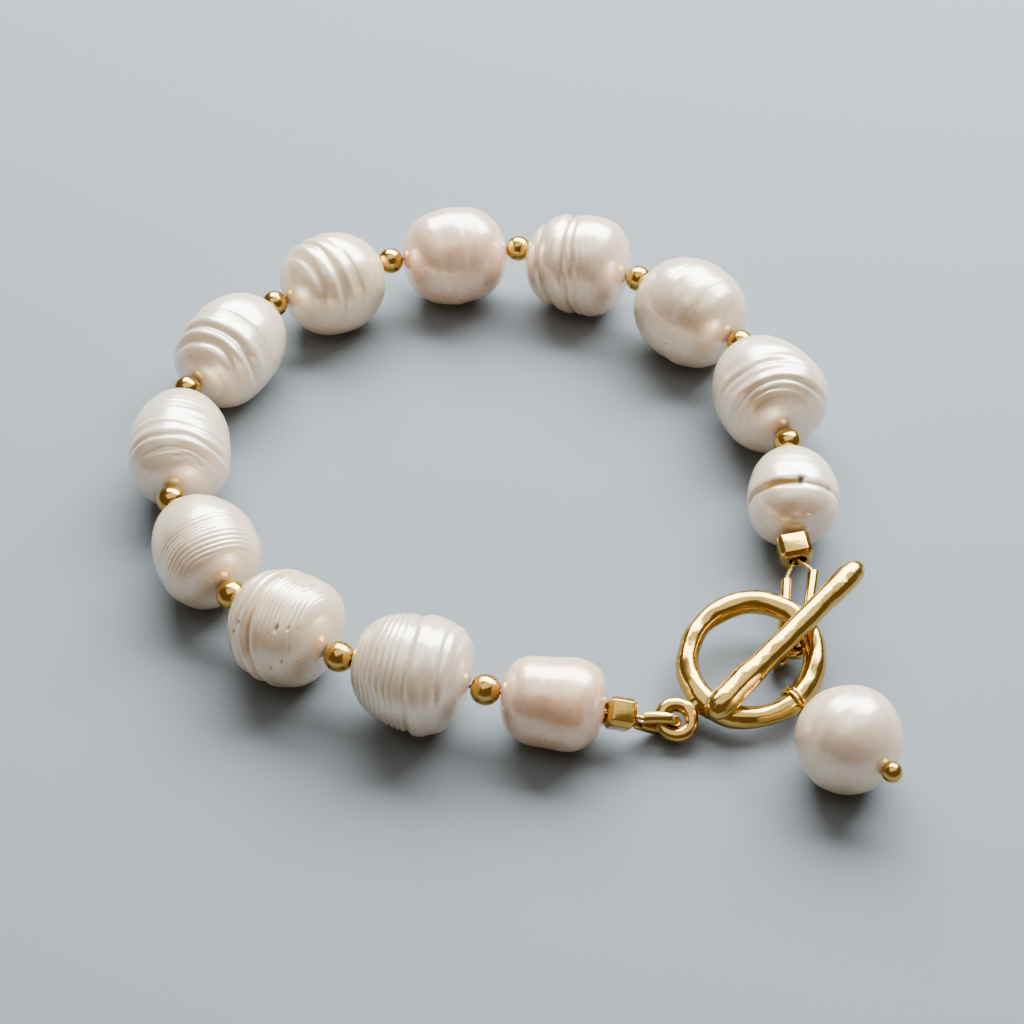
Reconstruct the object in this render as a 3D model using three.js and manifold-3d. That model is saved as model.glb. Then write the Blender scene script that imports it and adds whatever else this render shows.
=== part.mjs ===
// Baroque pearl bracelet with gold spacers, a toggle clasp and a pearl drop, closed and lying flat.
// Millimetres, +Z up. The origin is on the surface that the bracelet lies on, under the middle of its box.
import * as THREE from "three";
import { mergeVertices } from "three/addons/utils/BufferGeometryUtils.js";
import Module from "manifold-3d";

const wasm = await Module();
wasm.setup();

// Beading wire and the holes that it passes through
const wireDiameter = 0.45;
const pearlBore = 1.2;
const spacerBore = 1.2;
const crimpBore = 1.5;
const beadClearance = 0.08;
const crimpClearance = 0.1;
const floorClearance = 0.02;

// Beads
const spacerDiameter = 2.8;
const crimpSide = 2.6;
const crimpEdgeCut = 0.4;
const crimpCornerCut = 0.85;
const crimpRolls = { ringSide: 24, barSide: 8 };

// Wire guards, the little horseshoe tubes that the wire turns round in. mouth is the distance between
// the middles of a guard's two ends, and pitch is how much its bend lies above them, in degrees.
const guardTube = 0.95;
const guardBore = 0.65;
const guardBendRadius = 1.0;
const ringGuardLeg = 1.7;
const ringGuardMouth = 1.25;
const ringGuardPitch = -19;
const ringGuardRoll = 104;
const barGuardLeg = 6.2;
const barGuardMouth = 2.5;
const barGuardPitch = -8;
const barGuardRoll = 0;

// Toggle ring, with the eye that is cast on to it
const ringWidth = 13.0;
const ringDepth = 14.5;
const ringRim = 2.0;
const ringThickness = 1.7;
const ringSwell = 0.06;
const ringCentre = new THREE.Vector3(21.5, -21.0, 2.85);
const ringPitch = 10;
const ringTurn = -38;
const ringEyeHole = 2.0;
const ringEyeWire = 0.85;
const ringEyeAngle = 220;
const ringEyeGap = 0.35;
const ringEyeNeck = 1.3;
const ringEyePitch = 20;

// Toggle bar, with its eye below the middle. Along and aside say where its middle lies on the ring.
const barLength = 21.2;
const barEndDiameter = 2.4;
const barWaistDiameter = 2.0;
const barTurn = 46;
const barAlong = 2.85;
const barAside = -1.5;
const barRestGap = 0.22;
const barEyeHole = 2.0;
const barEyeWire = 0.8;
const barEyeStem = 0.45;
const barEyeOffset = 0.2;
const barHookDrop = 6;

// Pearl drop on its headpin
const dropDiameter = 9.4;
const dropLength = 8.8;
const pinWire = 0.55;
const pinBall = 1.8;
const pinLoopPitch = 0.62;
const pinLoopTurns = 2.2;
const dropRingAngle = -56;
const dropAxis = new THREE.Vector3(0.575, -0.8, 0.17).normalize();
const dropPlace = new THREE.Vector2(28.6, -31.3);

// Facets of round things
const pearlSides = 16;
const spacerSides = 12;
const wireSides = 6;
const tubeSides = 8;

// Where the string of beads runs: the centres of the two crimps and of the spacers between them.
// Each pearl is straight between two of these points, and the string turns only at them.
const stringRoute = [
  { name: "crimp_ring_side", x: 9.4, y: -27.5, z: 3.2 },
  { name: "spacer_01", x: -2.3, y: -26.0, z: 4.7 },
  { name: "spacer_02", x: -15.2, y: -22.8, z: 5.3 },
  { name: "spacer_03", x: -25.5, y: -15.6, z: 5.3 },
  { name: "spacer_04", x: -32.6, y: -3.6, z: 5.4 },
  { name: "spacer_05", x: -33.1, y: 12.1, z: 5.5 },
  { name: "spacer_06", x: -25.5, y: 25.7, z: 5.6 },
  { name: "spacer_07", x: -13.4, y: 33.2, z: 5.6 },
  { name: "spacer_08", x: 0.7, y: 35.4, z: 5.6 },
  { name: "spacer_09", x: 13.8, y: 29.9, z: 5.7 },
  { name: "spacer_10", x: 23.9, y: 19.0, z: 5.8 },
  { name: "spacer_11", x: 27.3, y: 4.5, z: 5.3 },
  { name: "crimp_bar_side", x: 26.7, y: -8.4, z: 3.7 },
];

// One row for each pearl of the string. width is in millimetres and is measured across the string.
// blunt is the power of its outline, 2 for an ellipse; egg moves the widest place towards the far end;
// lean tips its growth rings off the string, in degrees, about the direction roll.
// Each groove is a ring cut in the skin: at is its place as a share of the half length, from -1 to 1,
// wide is its share of the half length, and deep is its share of the half width.
const pearls = [
  { name: "pearl_01", width: 8.5, blunt: 2.9, egg: 0.02, lean: 4, roll: 40,
    grooves: [{ at: 0.1, wide: 0.5, deep: 0.035 }] },
  { name: "pearl_02", width: 10.3, blunt: 2.7, egg: -0.08, lean: 5, roll: 90,
    grooves: [{ at: 0.16, wide: 0.1, deep: 0.045 }, { at: -0.52, wide: 0.12, deep: 0.06 }] },
  { name: "pearl_03", width: 10.2, blunt: 2.6, egg: 0.04, lean: 8, roll: 0,
    grooves: [{ at: 0.42, wide: 0.14, deep: 0.09 }, { at: 0.18, wide: 0.1, deep: 0.03 }] },
  { name: "pearl_04", width: 9.9, blunt: 2.2, egg: 0.03, lean: 12, roll: 200,
    grooves: [{ at: 0.12, wide: 0.16, deep: 0.025 }, { at: -0.3, wide: 0.16, deep: 0.03 }] },
  { name: "pearl_05", width: 10.1, blunt: 2.3, egg: -0.08, lean: 5, roll: 0,
    grooves: [{ at: 0.18, wide: 0.12, deep: 0.05 }, { at: -0.16, wide: 0.16, deep: 0.05 }] },
  { name: "pearl_06", width: 10.9, blunt: 2.3, egg: 0.04, lean: 8, roll: 90,
    grooves: [{ at: 0.22, wide: 0.13, deep: 0.06 }, { at: -0.06, wide: 0.13, deep: 0.07 },
      { at: -0.36, wide: 0.14, deep: 0.06 }] },
  { name: "pearl_07", width: 10.9, blunt: 2.2, egg: 0, lean: 6, roll: 180,
    grooves: [{ at: 0.3, wide: 0.14, deep: 0.05 }, { at: 0, wide: 0.14, deep: 0.05 }] },
  { name: "pearl_08", width: 11.0, blunt: 2.3, egg: 0, lean: 3, roll: 0,
    grooves: [{ at: -0.3, wide: 0.16, deep: 0.03 }, { at: 0.2, wide: 0.16, deep: 0.035 }] },
  { name: "pearl_09", width: 11.1, blunt: 2.4, egg: 0.05, lean: 6, roll: 90,
    grooves: [{ at: -0.34, wide: 0.14, deep: 0.09 }, { at: 0.16, wide: 0.14, deep: 0.05 },
      { at: 0.5, wide: 0.12, deep: 0.05 }] },
  { name: "pearl_10", width: 11.4, blunt: 2.2, egg: -0.03, lean: 4, roll: 270,
    grooves: [{ at: -0.1, wide: 0.16, deep: 0.03 }, { at: 0.3, wide: 0.16, deep: 0.025 }] },
  { name: "pearl_11", width: 11.1, blunt: 2.3, egg: 0.02, lean: 8, roll: 45,
    grooves: [{ at: -0.3, wide: 0.12, deep: 0.05 }, { at: -0.02, wide: 0.13, deep: 0.05 }] },
  { name: "pearl_12", width: 8.9, blunt: 2.2, egg: -0.05, lean: 6, roll: 120,
    grooves: [{ at: -0.04, wide: 0.12, deep: 0.085 }] },
];

const gold = { color: 0xd9a441, metalness: 1, roughness: 0.25 };
const nacre = { color: 0xefe8df, metalness: 0, roughness: 0.3 };

const up = new THREE.Vector3(0, 0, 1);
const lengthways = new THREE.Vector3(1, 0, 0);

/** A closed three.js geometry as a manifold-3d solid. */
function solidOf(geometry) {
  const bare = geometry.clone();
  bare.deleteAttribute("normal");
  bare.deleteAttribute("uv");
  const merged = mergeVertices(bare.index ? bare.toNonIndexed() : bare, 1e-4);
  return new wasm.Manifold(new wasm.Mesh({
    numProp: 3,
    vertProperties: new Float32Array(merged.attributes.position.array),
    triVerts: new Uint32Array(merged.index.array),
  }));
}

/** A manifold-3d solid as a three.js geometry with flat faces. */
function geometryOf(solid) {
  const { vertProperties, triVerts } = solid.getMesh();
  const geometry = new THREE.BufferGeometry();
  geometry.setAttribute("position", new THREE.BufferAttribute(new Float32Array(vertProperties), 3));
  geometry.setIndex(new THREE.BufferAttribute(new Uint32Array(triVerts), 1));
  geometry.computeVertexNormals();
  return geometry;
}

/** One named mesh with a finish of its own. */
function piece(name, solid, finish) {
  const mesh = new THREE.Mesh(geometryOf(solid), new THREE.MeshStandardMaterial(finish));
  mesh.name = name;
  return mesh;
}

/** The turn that takes the x axis to a direction, with as little roll as can be. */
function turnTo(direction) {
  const x = direction.clone().normalize();
  const y = new THREE.Vector3().crossVectors(up, x).normalize();
  const z = new THREE.Vector3().crossVectors(x, y);
  return new THREE.Matrix4().makeBasis(x, y, z);
}

/** A turn about the x axis and then the placing that takes the x axis along a direction from a point. */
function placing(point, direction, roll = 0) {
  return new THREE.Matrix4().makeTranslation(point.x, point.y, point.z)
    .multiply(turnTo(direction))
    .multiply(new THREE.Matrix4().makeRotationX(THREE.MathUtils.degToRad(roll)));
}

/** A round rod along the x axis, centred on the origin. */
function rod(diameter, length, sides) {
  return new THREE.CylinderGeometry(diameter / 2, diameter / 2, length, sides).rotateZ(Math.PI / 2);
}

/** A profile of [along x, radius] points turned about the x axis. It is closed, or it ends on the axis. */
function turned(profile, sides) {
  const points = profile.map(([along, radius]) => new THREE.Vector2(radius, along));
  return new THREE.LatheGeometry(points, sides).rotateZ(-Math.PI / 2);
}

/** A round tube or wire along a curve, bored if a bore is given. */
function tube(curve, steps, diameter, sides, bore = 0) {
  const circle = (radius, start) => Array.from({ length: sides }, (_, i) => {
    const angle = start + (2 * Math.PI * i) / sides;
    return new THREE.Vector2(radius * Math.cos(angle), radius * Math.sin(angle));
  });
  const section = new THREE.Shape(circle(diameter / 2, 0));
  if (bore > 0) section.holes.push(new THREE.Path(circle(bore / 2, 0)));
  return new THREE.ExtrudeGeometry(section, { steps, bevelEnabled: false, extrudePath: curve });
}

/** A smooth curve through points, open at its ends. */
function through(points) {
  return new THREE.CatmullRomCurve3(points, false, "centripetal");
}

/** How deep the growth grooves of a pearl are at a place along it, as a share of its half width. */
function grooveDepth(grooves, place) {
  return grooves.reduce((sum, { at, wide, deep }) => sum + deep * Math.exp(-(((place - at) / wide) ** 2)), 0);
}

/** A pearl's outline from tip to tip, as [along, radius] points that lie closest where it is grooved. */
function pearlProfile(row, length, rows = 17) {
  const profile = [];
  for (let i = 0; i <= rows; i += 1) {
    const place = -Math.cos((Math.PI * i) / rows);
    const full = Math.max(0, 1 - Math.abs(place) ** row.blunt) ** (1 / row.blunt);
    const shaped = full * (1 + row.egg * place) * (1 - grooveDepth(row.grooves, place));
    const onAxis = i === 0 || i === rows;
    profile.push([(place * length) / 2, onAxis ? 0 : (shaped * row.width) / 2]);
  }
  return profile;
}

/** A drilled pearl between two points of the route. It lies on the floor, and its hole is on the string. */
function pearl(row, from, to) {
  const along = new THREE.Vector3().subVectors(to.point, from.point);
  const length = along.length() - from.reach - to.reach - 2 * beadClearance;
  const middle = from.point.clone().addScaledVector(along.clone().normalize(),
    from.reach + beadClearance + length / 2);
  const leanAxis = new THREE.Vector3(0, 0, 1)
    .applyAxisAngle(lengthways, THREE.MathUtils.degToRad(row.roll));
  const body = turned(pearlProfile(row, length), pearlSides)
    .applyMatrix4(new THREE.Matrix4().makeRotationAxis(leanAxis, THREE.MathUtils.degToRad(row.lean)))
    .applyMatrix4(placing(middle, along));
  body.computeBoundingBox();
  body.translate(0, 0, floorClearance - body.boundingBox.min.z);
  const hole = rod(pearlBore, 2 * length, tubeSides).applyMatrix4(placing(middle, along));
  return piece(row.name, solidOf(body).subtract(solidOf(hole)), nacre);
}

/** A round spacer with its hole along the string, which turns by half at it. */
function spacer(name, before, at, after) {
  const radius = spacerDiameter / 2;
  const mouth = Math.asin(spacerBore / spacerDiameter);
  const rows = 6;
  const profile = Array.from({ length: rows + 1 }, (_, i) => {
    const angle = mouth + ((Math.PI - 2 * mouth) * i) / rows;
    return [-radius * Math.cos(angle), radius * Math.sin(angle)];
  });
  profile.push(profile[0]);
  const into = new THREE.Vector3().subVectors(at, before).normalize();
  const out = new THREE.Vector3().subVectors(after, at).normalize();
  const ball = turned(profile, spacerSides).applyMatrix4(placing(at, into.add(out)));
  return piece(name, solidOf(ball), gold);
}

/** A crimp: a cube with cut edges and corners, drilled along the string. */
function crimp(name, at, direction, roll) {
  const cube = new THREE.BoxGeometry(crimpSide, crimpSide, crimpSide);
  const slanted = (crimpSide - crimpEdgeCut) * Math.SQRT2;
  const edge = () => new THREE.BoxGeometry(2 * crimpSide, slanted, slanted).rotateX(Math.PI / 4);
  const corners = new THREE.OctahedronGeometry((3 * crimpSide) / 2 - crimpCornerCut);
  const cut = [edge(), edge().rotateY(Math.PI / 2), edge().rotateZ(Math.PI / 2), corners]
    .reduce((solid, tool) => solid.intersect(solidOf(tool)), solidOf(cube))
    .subtract(solidOf(rod(crimpBore, 2 * crimpSide, 12)));
  const placed = geometryOf(cut).applyMatrix4(placing(at, direction, roll));
  return piece(name, solidOf(placed), gold);
}

/** Points along a guard's middle line, flat, with the bend's centre at the origin and the ends towards -x. */
function guardLine(leg, mouth) {
  const side = [1, 0.66, 0.33].map((share) => {
    const spread = THREE.MathUtils.lerp(guardBendRadius, mouth / 2, share * share);
    return new THREE.Vector3(-leg * share, spread, 0);
  });
  const bend = Array.from({ length: 7 }, (_, i) => {
    const angle = Math.PI / 2 - (Math.PI * i) / 6;
    return new THREE.Vector3(guardBendRadius * Math.cos(angle), guardBendRadius * Math.sin(angle), 0);
  });
  const back = side.map((p) => new THREE.Vector3(p.x, -p.y, 0)).reverse();
  return [...side, ...bend, ...back];
}

/** The placing of a guard whose bend goes round a hook and whose ends look at a crimp. */
function guardPlacing({ hook, crimpPoint, pitch, roll }) {
  const level = new THREE.Vector3().subVectors(hook, crimpPoint).setZ(0).normalize();
  const rise = THREE.MathUtils.degToRad(pitch);
  const direction = level.multiplyScalar(Math.cos(rise)).addScaledVector(up, Math.sin(rise));
  return placing(hook, direction, roll);
}

/** A cast ring's rim: a soft section turned about z, made oval, and swollen here and there. */
function rim(width, depth, across, thickness, swell, segments) {
  const mean = (width - across) / 2;
  const count = 12;
  const section = Array.from({ length: count + 1 }, (_, i) => {
    const angle = (2 * Math.PI * i) / count;
    const soft = (value) => Math.sign(value) * Math.abs(value) ** 0.75;
    return new THREE.Vector2(mean + (across / 2) * soft(Math.cos(angle)), (thickness / 2) * soft(Math.sin(angle)));
  });
  const ring = new THREE.LatheGeometry(section, segments).rotateX(Math.PI / 2);
  const place = ring.getAttribute("position");
  for (let i = 0; i < place.count; i += 1) {
    const [x, y, z] = [place.getX(i), place.getY(i), place.getZ(i)];
    const radius = Math.hypot(x, y);
    const turn = Math.atan2(y, x);
    const wave = 1 + swell * (Math.sin(3 * turn + 0.6) + 0.6 * Math.sin(5 * turn + 2));
    const worked = mean + (radius - mean) * wave;
    place.setXYZ(i, (worked * x) / radius, ((worked * y) / radius) * (depth / width), z * wave);
  }
  return ring;
}

/** A plain round eye: a wire ring about the z axis. */
function eye(hole, wire, segments) {
  return rim(hole + 2 * wire, hole + 2 * wire, wire, wire, 0, segments);
}

/** Where the toggle ring lies. */
const ringPlacing = new THREE.Matrix4().makeTranslation(ringCentre)
  .multiply(new THREE.Matrix4().makeRotationX(THREE.MathUtils.degToRad(ringPitch)))
  .multiply(new THREE.Matrix4().makeRotationZ(THREE.MathUtils.degToRad(ringTurn)));

/** A point of the ring's own plane at an angle and a distance from the rim's middle, in the part's frame. */
function onRing(angleDegrees, outward = 0, lift = 0) {
  const angle = THREE.MathUtils.degToRad(angleDegrees - ringTurn);
  const middle = new THREE.Vector3(((ringWidth - ringRim) / 2 + outward) * Math.cos(angle),
    ((ringDepth - ringRim) / 2 + outward) * Math.sin(angle), lift);
  return middle.applyMatrix4(ringPlacing);
}

/** The placing of the ring's eye, turned so that a guard lies under it. */
const ringEyeReach = ringRim / 2 + ringEyeGap + ringEyeWire + ringEyeHole / 2;
const ringEyePlacing = new THREE.Matrix4().makeTranslation(onRing(ringEyeAngle, ringEyeReach))
  .multiply(new THREE.Matrix4().makeRotationX(THREE.MathUtils.degToRad(ringEyePitch)));

/** The toggle ring and its eye, cast in one. */
function toggleRing() {
  const body = rim(ringWidth, ringDepth, ringRim, ringThickness, ringSwell, 36).applyMatrix4(ringPlacing);
  const loop = eye(ringEyeHole, ringEyeWire, 16).applyMatrix4(ringEyePlacing);
  const root = onRing(ringEyeAngle);
  const end = onRing(ringEyeAngle, ringRim / 2 + ringEyeGap + ringEyeWire / 2);
  const neck = rod(ringEyeNeck, root.distanceTo(end), 10)
    .applyMatrix4(placing(root.clone().lerp(end, 0.5), end.clone().sub(root)));
  return piece("toggle_ring", solidOf(body).add(solidOf(neck)).add(solidOf(loop)), gold);
}

/** Where the toggle bar lies: flat across the ring, with the middle of the bar at the origin. */
const barPlacing = (() => {
  const turn = new THREE.Matrix4().makeRotationZ(THREE.MathUtils.degToRad(barTurn));
  const tilt = new THREE.Matrix4().makeRotationX(THREE.MathUtils.degToRad(ringPitch));
  const lift = (ringThickness + barWaistDiameter) / 2 + barRestGap;
  return new THREE.Matrix4().makeTranslation(ringCentre).multiply(tilt).multiply(turn)
    .multiply(new THREE.Matrix4().makeTranslation(barAlong, barAside, lift));
})();

/** The middle of the bar's eye, from the middle of the bar. */
const barEyePlace = new THREE.Vector3(barEyeOffset, 0,
  -(barWaistDiameter / 2 + barEyeStem + barEyeWire + barEyeHole / 2));

/** The toggle bar, thicker at its round ends, with its eye below, cast in one. */
function toggleBar() {
  const rows = 16;
  const profile = Array.from({ length: rows + 1 }, (_, i) => {
    const place = -Math.cos((Math.PI * i) / rows);
    const cap = Math.sqrt(Math.max(0, 1 - Math.abs(place) ** 14));
    const thick = barWaistDiameter + (barEndDiameter - barWaistDiameter) * place * place;
    return [(place * barLength) / 2, i === 0 || i === rows ? 0 : (cap * thick) / 2];
  });
  const body = turned(profile, 12);
  const loop = eye(barEyeHole, barEyeWire, 14).rotateX(Math.PI / 2)
    .translate(barEyePlace.x, barEyePlace.y, barEyePlace.z);
  const stemLength = -barEyePlace.z - (barEyeHole + barEyeWire) / 2;
  const stem = rod(barEyeWire * 1.3, stemLength, 10).rotateY(Math.PI / 2)
    .translate(barEyePlace.x, 0, -stemLength / 2);
  const joined = geometryOf(solidOf(body).add(solidOf(stem)).add(solidOf(loop))).applyMatrix4(barPlacing);
  return piece("toggle_bar", solidOf(joined), gold);
}

/** The point of an eye's wire that lies nearest a crimp, in the eye's own plane, or a little past it. */
function hookPoint(centre, radius, normal, crimpPoint, past = 0) {
  const towards = new THREE.Vector3().subVectors(crimpPoint, centre).projectOnPlane(normal).normalize()
    .applyAxisAngle(normal, THREE.MathUtils.degToRad(past));
  return centre.clone().addScaledVector(towards, radius);
}

const [ringCrimp, barCrimp] = [stringRoute[0], stringRoute[stringRoute.length - 1]]
  .map(({ x, y, z }) => new THREE.Vector3(x, y, z));
const ringHook = hookPoint(new THREE.Vector3().applyMatrix4(ringEyePlacing), (ringEyeHole + ringEyeWire) / 2,
  up.clone().transformDirection(ringEyePlacing), ringCrimp);
const barHook = hookPoint(barEyePlace.clone().applyMatrix4(barPlacing), (barEyeHole + barEyeWire) / 2,
  new THREE.Vector3(0, 1, 0).transformDirection(barPlacing), barCrimp, barHookDrop);

const guards = [
  { name: "wire_guard_ring_side", leg: ringGuardLeg, mouth: ringGuardMouth, pitch: ringGuardPitch,
    roll: ringGuardRoll, hook: ringHook, crimpPoint: ringCrimp },
  { name: "wire_guard_bar_side", leg: barGuardLeg, mouth: barGuardMouth, pitch: barGuardPitch,
    roll: barGuardRoll, hook: barHook, crimpPoint: barCrimp },
];

/** The line of a guard in the part's frame. */
function guardRoute(row) {
  const matrix = guardPlacing(row);
  return guardLine(row.leg, row.mouth).map((point) => point.applyMatrix4(matrix));
}

/** A wire guard: a horseshoe of fine tube round an eye's wire. */
function guard(row) {
  return piece(row.name, solidOf(tube(through(guardRoute(row)), 16, guardTube, tubeSides, guardBore)), gold);
}

/** The way that a crimp looks: halfway between the string beside it and the mouth of its guard. */
function crimpAxis(row, neighbour) {
  const route = guardRoute(row);
  const mouth = route[0].clone().lerp(route[route.length - 1], 0.5);
  const string = new THREE.Vector3().subVectors(row.crimpPoint, neighbour).normalize();
  return mouth.sub(row.crimpPoint).normalize().add(string).normalize();
}

/** The wire that leaves a crimp, turns round in its guard and goes back into the crimp. */
function wireLoop(row, axis) {
  const route = guardRoute(row);
  const across = new THREE.Vector3().subVectors(route[0], route[route.length - 1]).normalize();
  const beside = (along, sideways) => row.crimpPoint.clone().addScaledVector(axis, along)
    .addScaledVector(across, sideways * wireDiameter);
  const out = [beside(0, 0.4), beside(crimpSide / 2, 0.55)];
  const back = [beside(crimpSide / 2, -0.55), beside(0, -0.4)];
  return tube(through([...out, ...route, ...back]), 30, wireDiameter, wireSides);
}

/** The beading wire: through every bead, then out of each crimp, round its guard and back. */
function beadingWire(points, axes) {
  const line = points.flatMap((point, i) => (i > 0 ? [points[i - 1].clone().lerp(point, 0.5), point] : [point]));
  const main = solidOf(tube(through(line), 48, wireDiameter, wireSides));
  return guards.reduce((wire, row, i) => wire.add(solidOf(wireLoop(row, axes[i]))), main);
}

/** The pearl drop, drilled through along its pin. */
function dropPearl(centre) {
  const body = new THREE.SphereGeometry(dropDiameter / 2, pearlSides, 14).rotateZ(Math.PI / 2)
    .scale(dropLength / dropDiameter, 1, 1).applyMatrix4(placing(centre, dropAxis));
  const hole = rod(pearlBore, 2 * dropDiameter, tubeSides).applyMatrix4(placing(centre, dropAxis));
  return piece("drop_pearl", solidOf(body).subtract(solidOf(hole)), nacre);
}

/** The headpin of the drop: its ball end, its shaft through the pearl, and the loop wrapped round the ring. */
function dropPin(centre) {
  const seat = Math.sqrt(pinBall ** 2 - pearlBore ** 2) / 2;
  const ballPoint = centre.clone().addScaledVector(dropAxis, dropLength / 2 + seat + beadClearance / 2);
  const outlet = centre.clone().addScaledVector(dropAxis, -(dropLength + pinWire) / 2);
  const rimPoint = onRing(dropRingAngle);
  const outward = onRing(dropRingAngle, 1).sub(rimPoint).normalize();
  const along = new THREE.Vector3().crossVectors(up, outward).normalize();
  const over = new THREE.Vector3().crossVectors(outward, along);
  const half = { out: ringRim / 2 + 0.2 + pinWire / 2, over: ringThickness / 2 + 0.14 + pinWire / 2 };
  const loop = [];
  const stepsPerTurn = 12;
  for (let i = 0; i <= pinLoopTurns * stepsPerTurn; i += 1) {
    const angle = Math.PI / 4 + (2 * Math.PI * i) / stepsPerTurn;
    loop.push(rimPoint.clone().addScaledVector(outward, half.out * Math.cos(angle))
      .addScaledVector(over, half.over * Math.sin(angle))
      .addScaledVector(along, pinLoopPitch * (i / stepsPerTurn - pinLoopTurns / 2)));
  }
  const shaft = through([centre, centre.clone().lerp(outlet, 0.6), outlet, loop[0].clone().lerp(outlet, 0.35), ...loop]);
  const straight = through([centre, centre.clone().lerp(ballPoint, 0.5), ballPoint]);
  const ball = new THREE.SphereGeometry(pinBall / 2, 12, 8).translate(ballPoint.x, ballPoint.y, ballPoint.z);
  const solid = solidOf(tube(shaft, 46, pinWire, wireSides)).add(solidOf(tube(straight, 2, pinWire, wireSides)))
    .add(solidOf(ball));
  return piece("drop_pin", solid, gold);
}

/** The whole bracelet, with every piece in its place. */
function bracelet() {
  const parts = new THREE.Group();
  const stops = stringRoute.map(({ name, x, y, z }) => ({
    name,
    point: new THREE.Vector3(x, y, z),
    reach: name.startsWith("crimp") ? crimpSide / 2 + crimpClearance : spacerDiameter / 2,
  }));
  const points = stops.map(({ point }) => point);
  const last = stops.length - 1;
  pearls.forEach((row, i) => parts.add(pearl(row, stops[i], stops[i + 1])));
  stops.slice(1, last).forEach(({ name, point }, i) => parts.add(spacer(name, points[i], point, points[i + 2])));
  const axes = [crimpAxis(guards[0], points[1]), crimpAxis(guards[1], points[last - 1])];
  parts.add(crimp(stops[0].name, points[0], axes[0], crimpRolls.ringSide));
  parts.add(crimp(stops[last].name, points[last], axes[1], crimpRolls.barSide));
  parts.add(piece("beading_wire", beadingWire(points, axes), gold));
  guards.forEach((row) => parts.add(guard(row)));
  parts.add(toggleRing(), toggleBar());
  const dropAt = new THREE.Vector3(dropPlace.x, dropPlace.y, dropDiameter / 2 + floorClearance);
  parts.add(dropPearl(dropAt), dropPin(dropAt));
  return parts;
}

/** The parts moved so that the origin is on the floor, under the middle of their box. */
function centred(parts) {
  const box = new THREE.Box3().setFromObject(parts, true);
  const middle = box.getCenter(new THREE.Vector3());
  parts.position.set(-middle.x, -middle.y, -box.min.z);
  return new THREE.Group().add(parts);
}

export default centred(bracelet());
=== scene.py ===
"""A baroque pearl bracelet with a toggle clasp and a pearl drop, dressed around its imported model.

The pearls, the spacers, the wire and its guards are modelled here in millimetres, and the cast pieces start
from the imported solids. Every finished piece is in metres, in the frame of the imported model.
"""

from __future__ import annotations

import logging
import math
from dataclasses import dataclass
from enum import Enum

import bmesh
import bpy
import numpy as np
from bmesh.types import BMesh, BMFace, BMVert
from bpy.types import Material, Mesh, Node, NodeSocket, NodeTree, Object
from mathutils import Matrix, Vector

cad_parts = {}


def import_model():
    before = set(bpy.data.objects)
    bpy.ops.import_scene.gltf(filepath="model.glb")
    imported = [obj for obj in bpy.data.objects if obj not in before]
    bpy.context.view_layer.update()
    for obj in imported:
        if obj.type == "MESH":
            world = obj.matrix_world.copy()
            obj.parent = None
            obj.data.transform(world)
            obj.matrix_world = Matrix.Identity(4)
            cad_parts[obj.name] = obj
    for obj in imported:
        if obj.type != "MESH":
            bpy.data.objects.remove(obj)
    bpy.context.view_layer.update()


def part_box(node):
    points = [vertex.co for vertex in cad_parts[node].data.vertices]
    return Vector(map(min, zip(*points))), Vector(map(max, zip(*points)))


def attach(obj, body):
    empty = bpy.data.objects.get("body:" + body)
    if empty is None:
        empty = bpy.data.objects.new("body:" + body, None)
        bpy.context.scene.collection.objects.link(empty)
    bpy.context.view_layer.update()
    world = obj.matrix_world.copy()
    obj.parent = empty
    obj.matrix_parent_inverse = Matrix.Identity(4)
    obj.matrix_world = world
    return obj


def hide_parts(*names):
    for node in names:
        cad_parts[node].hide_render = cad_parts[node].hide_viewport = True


Pair = tuple[float, float]
Triple = tuple[float, float, float]
Color = tuple[float, float, float, float]

LOG = logging.getLogger("bracelet")
MM = 0.001
UP = Vector((0, 0, 1))
BODY = "root"
FLOOR_GAP = 0.02
DRILL_EDGE = 0.06


class Slot(Enum):
    """The names of the material slots."""

    PEARL = "pearl"
    GOLD = "gold"
    WIRE = "beading_wire"


class NacreTone(Enum):
    """The body colours that the pearls come in."""

    ROSE = "rose"
    IVORY = "ivory"
    CREAM = "cream"
    WHITE = "white"


@dataclass(frozen=True)
class Viewpoint:
    """Where the photograph was taken from, in metres and degrees."""

    target: Triple = (0.00228, -0.00176, 0.0)
    elevation: float = 46.0
    distance: float = 0.1711
    lens: float = 60.5
    sensor: float = 36.0

    def build(self) -> Object:
        """Makes the scene's camera.

        Returns:
            The camera, which the scene then looks through.
        """
        data = bpy.data.cameras.new("photo_camera")
        data.lens = self.lens
        data.sensor_width = self.sensor
        data.clip_start = 0.01
        data.clip_end = 10.0
        camera = bpy.data.objects.new("photo_camera", data)
        bpy.context.scene.collection.objects.link(camera)
        lift = math.radians(self.elevation)
        back = Vector((0.0, -math.cos(lift), math.sin(lift)))
        camera.location = Vector(self.target) + back * self.distance
        camera.rotation_euler = (-back).to_track_quat("-Z", "Y").to_euler()
        bpy.context.scene.camera = camera
        return camera


class Waves:
    """Smooth noise made of a few seeded sine waves, mostly from -1 to 1."""

    def __init__(self, seed: int, count: int = 14) -> None:
        """Draws the waves.

        Args:
            seed: Picks the pattern.
            count: How many waves are summed.
        """
        draw = np.random.default_rng(seed)
        direction = draw.normal(size=(count, 3))
        direction /= np.linalg.norm(direction, axis=1, keepdims=True)
        self._waves = direction * draw.uniform(0.6, 1.5, (count, 1)) * 2 * math.pi
        self._phases = draw.uniform(0, 2 * math.pi, count)

    def at(self, points: np.ndarray, size: float) -> np.ndarray:
        """Returns the noise at points, one in each row, with waves about as long as size."""
        return np.sin(points @ self._waves.T / size + self._phases).sum(axis=1) / math.sqrt(len(self._phases))


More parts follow.
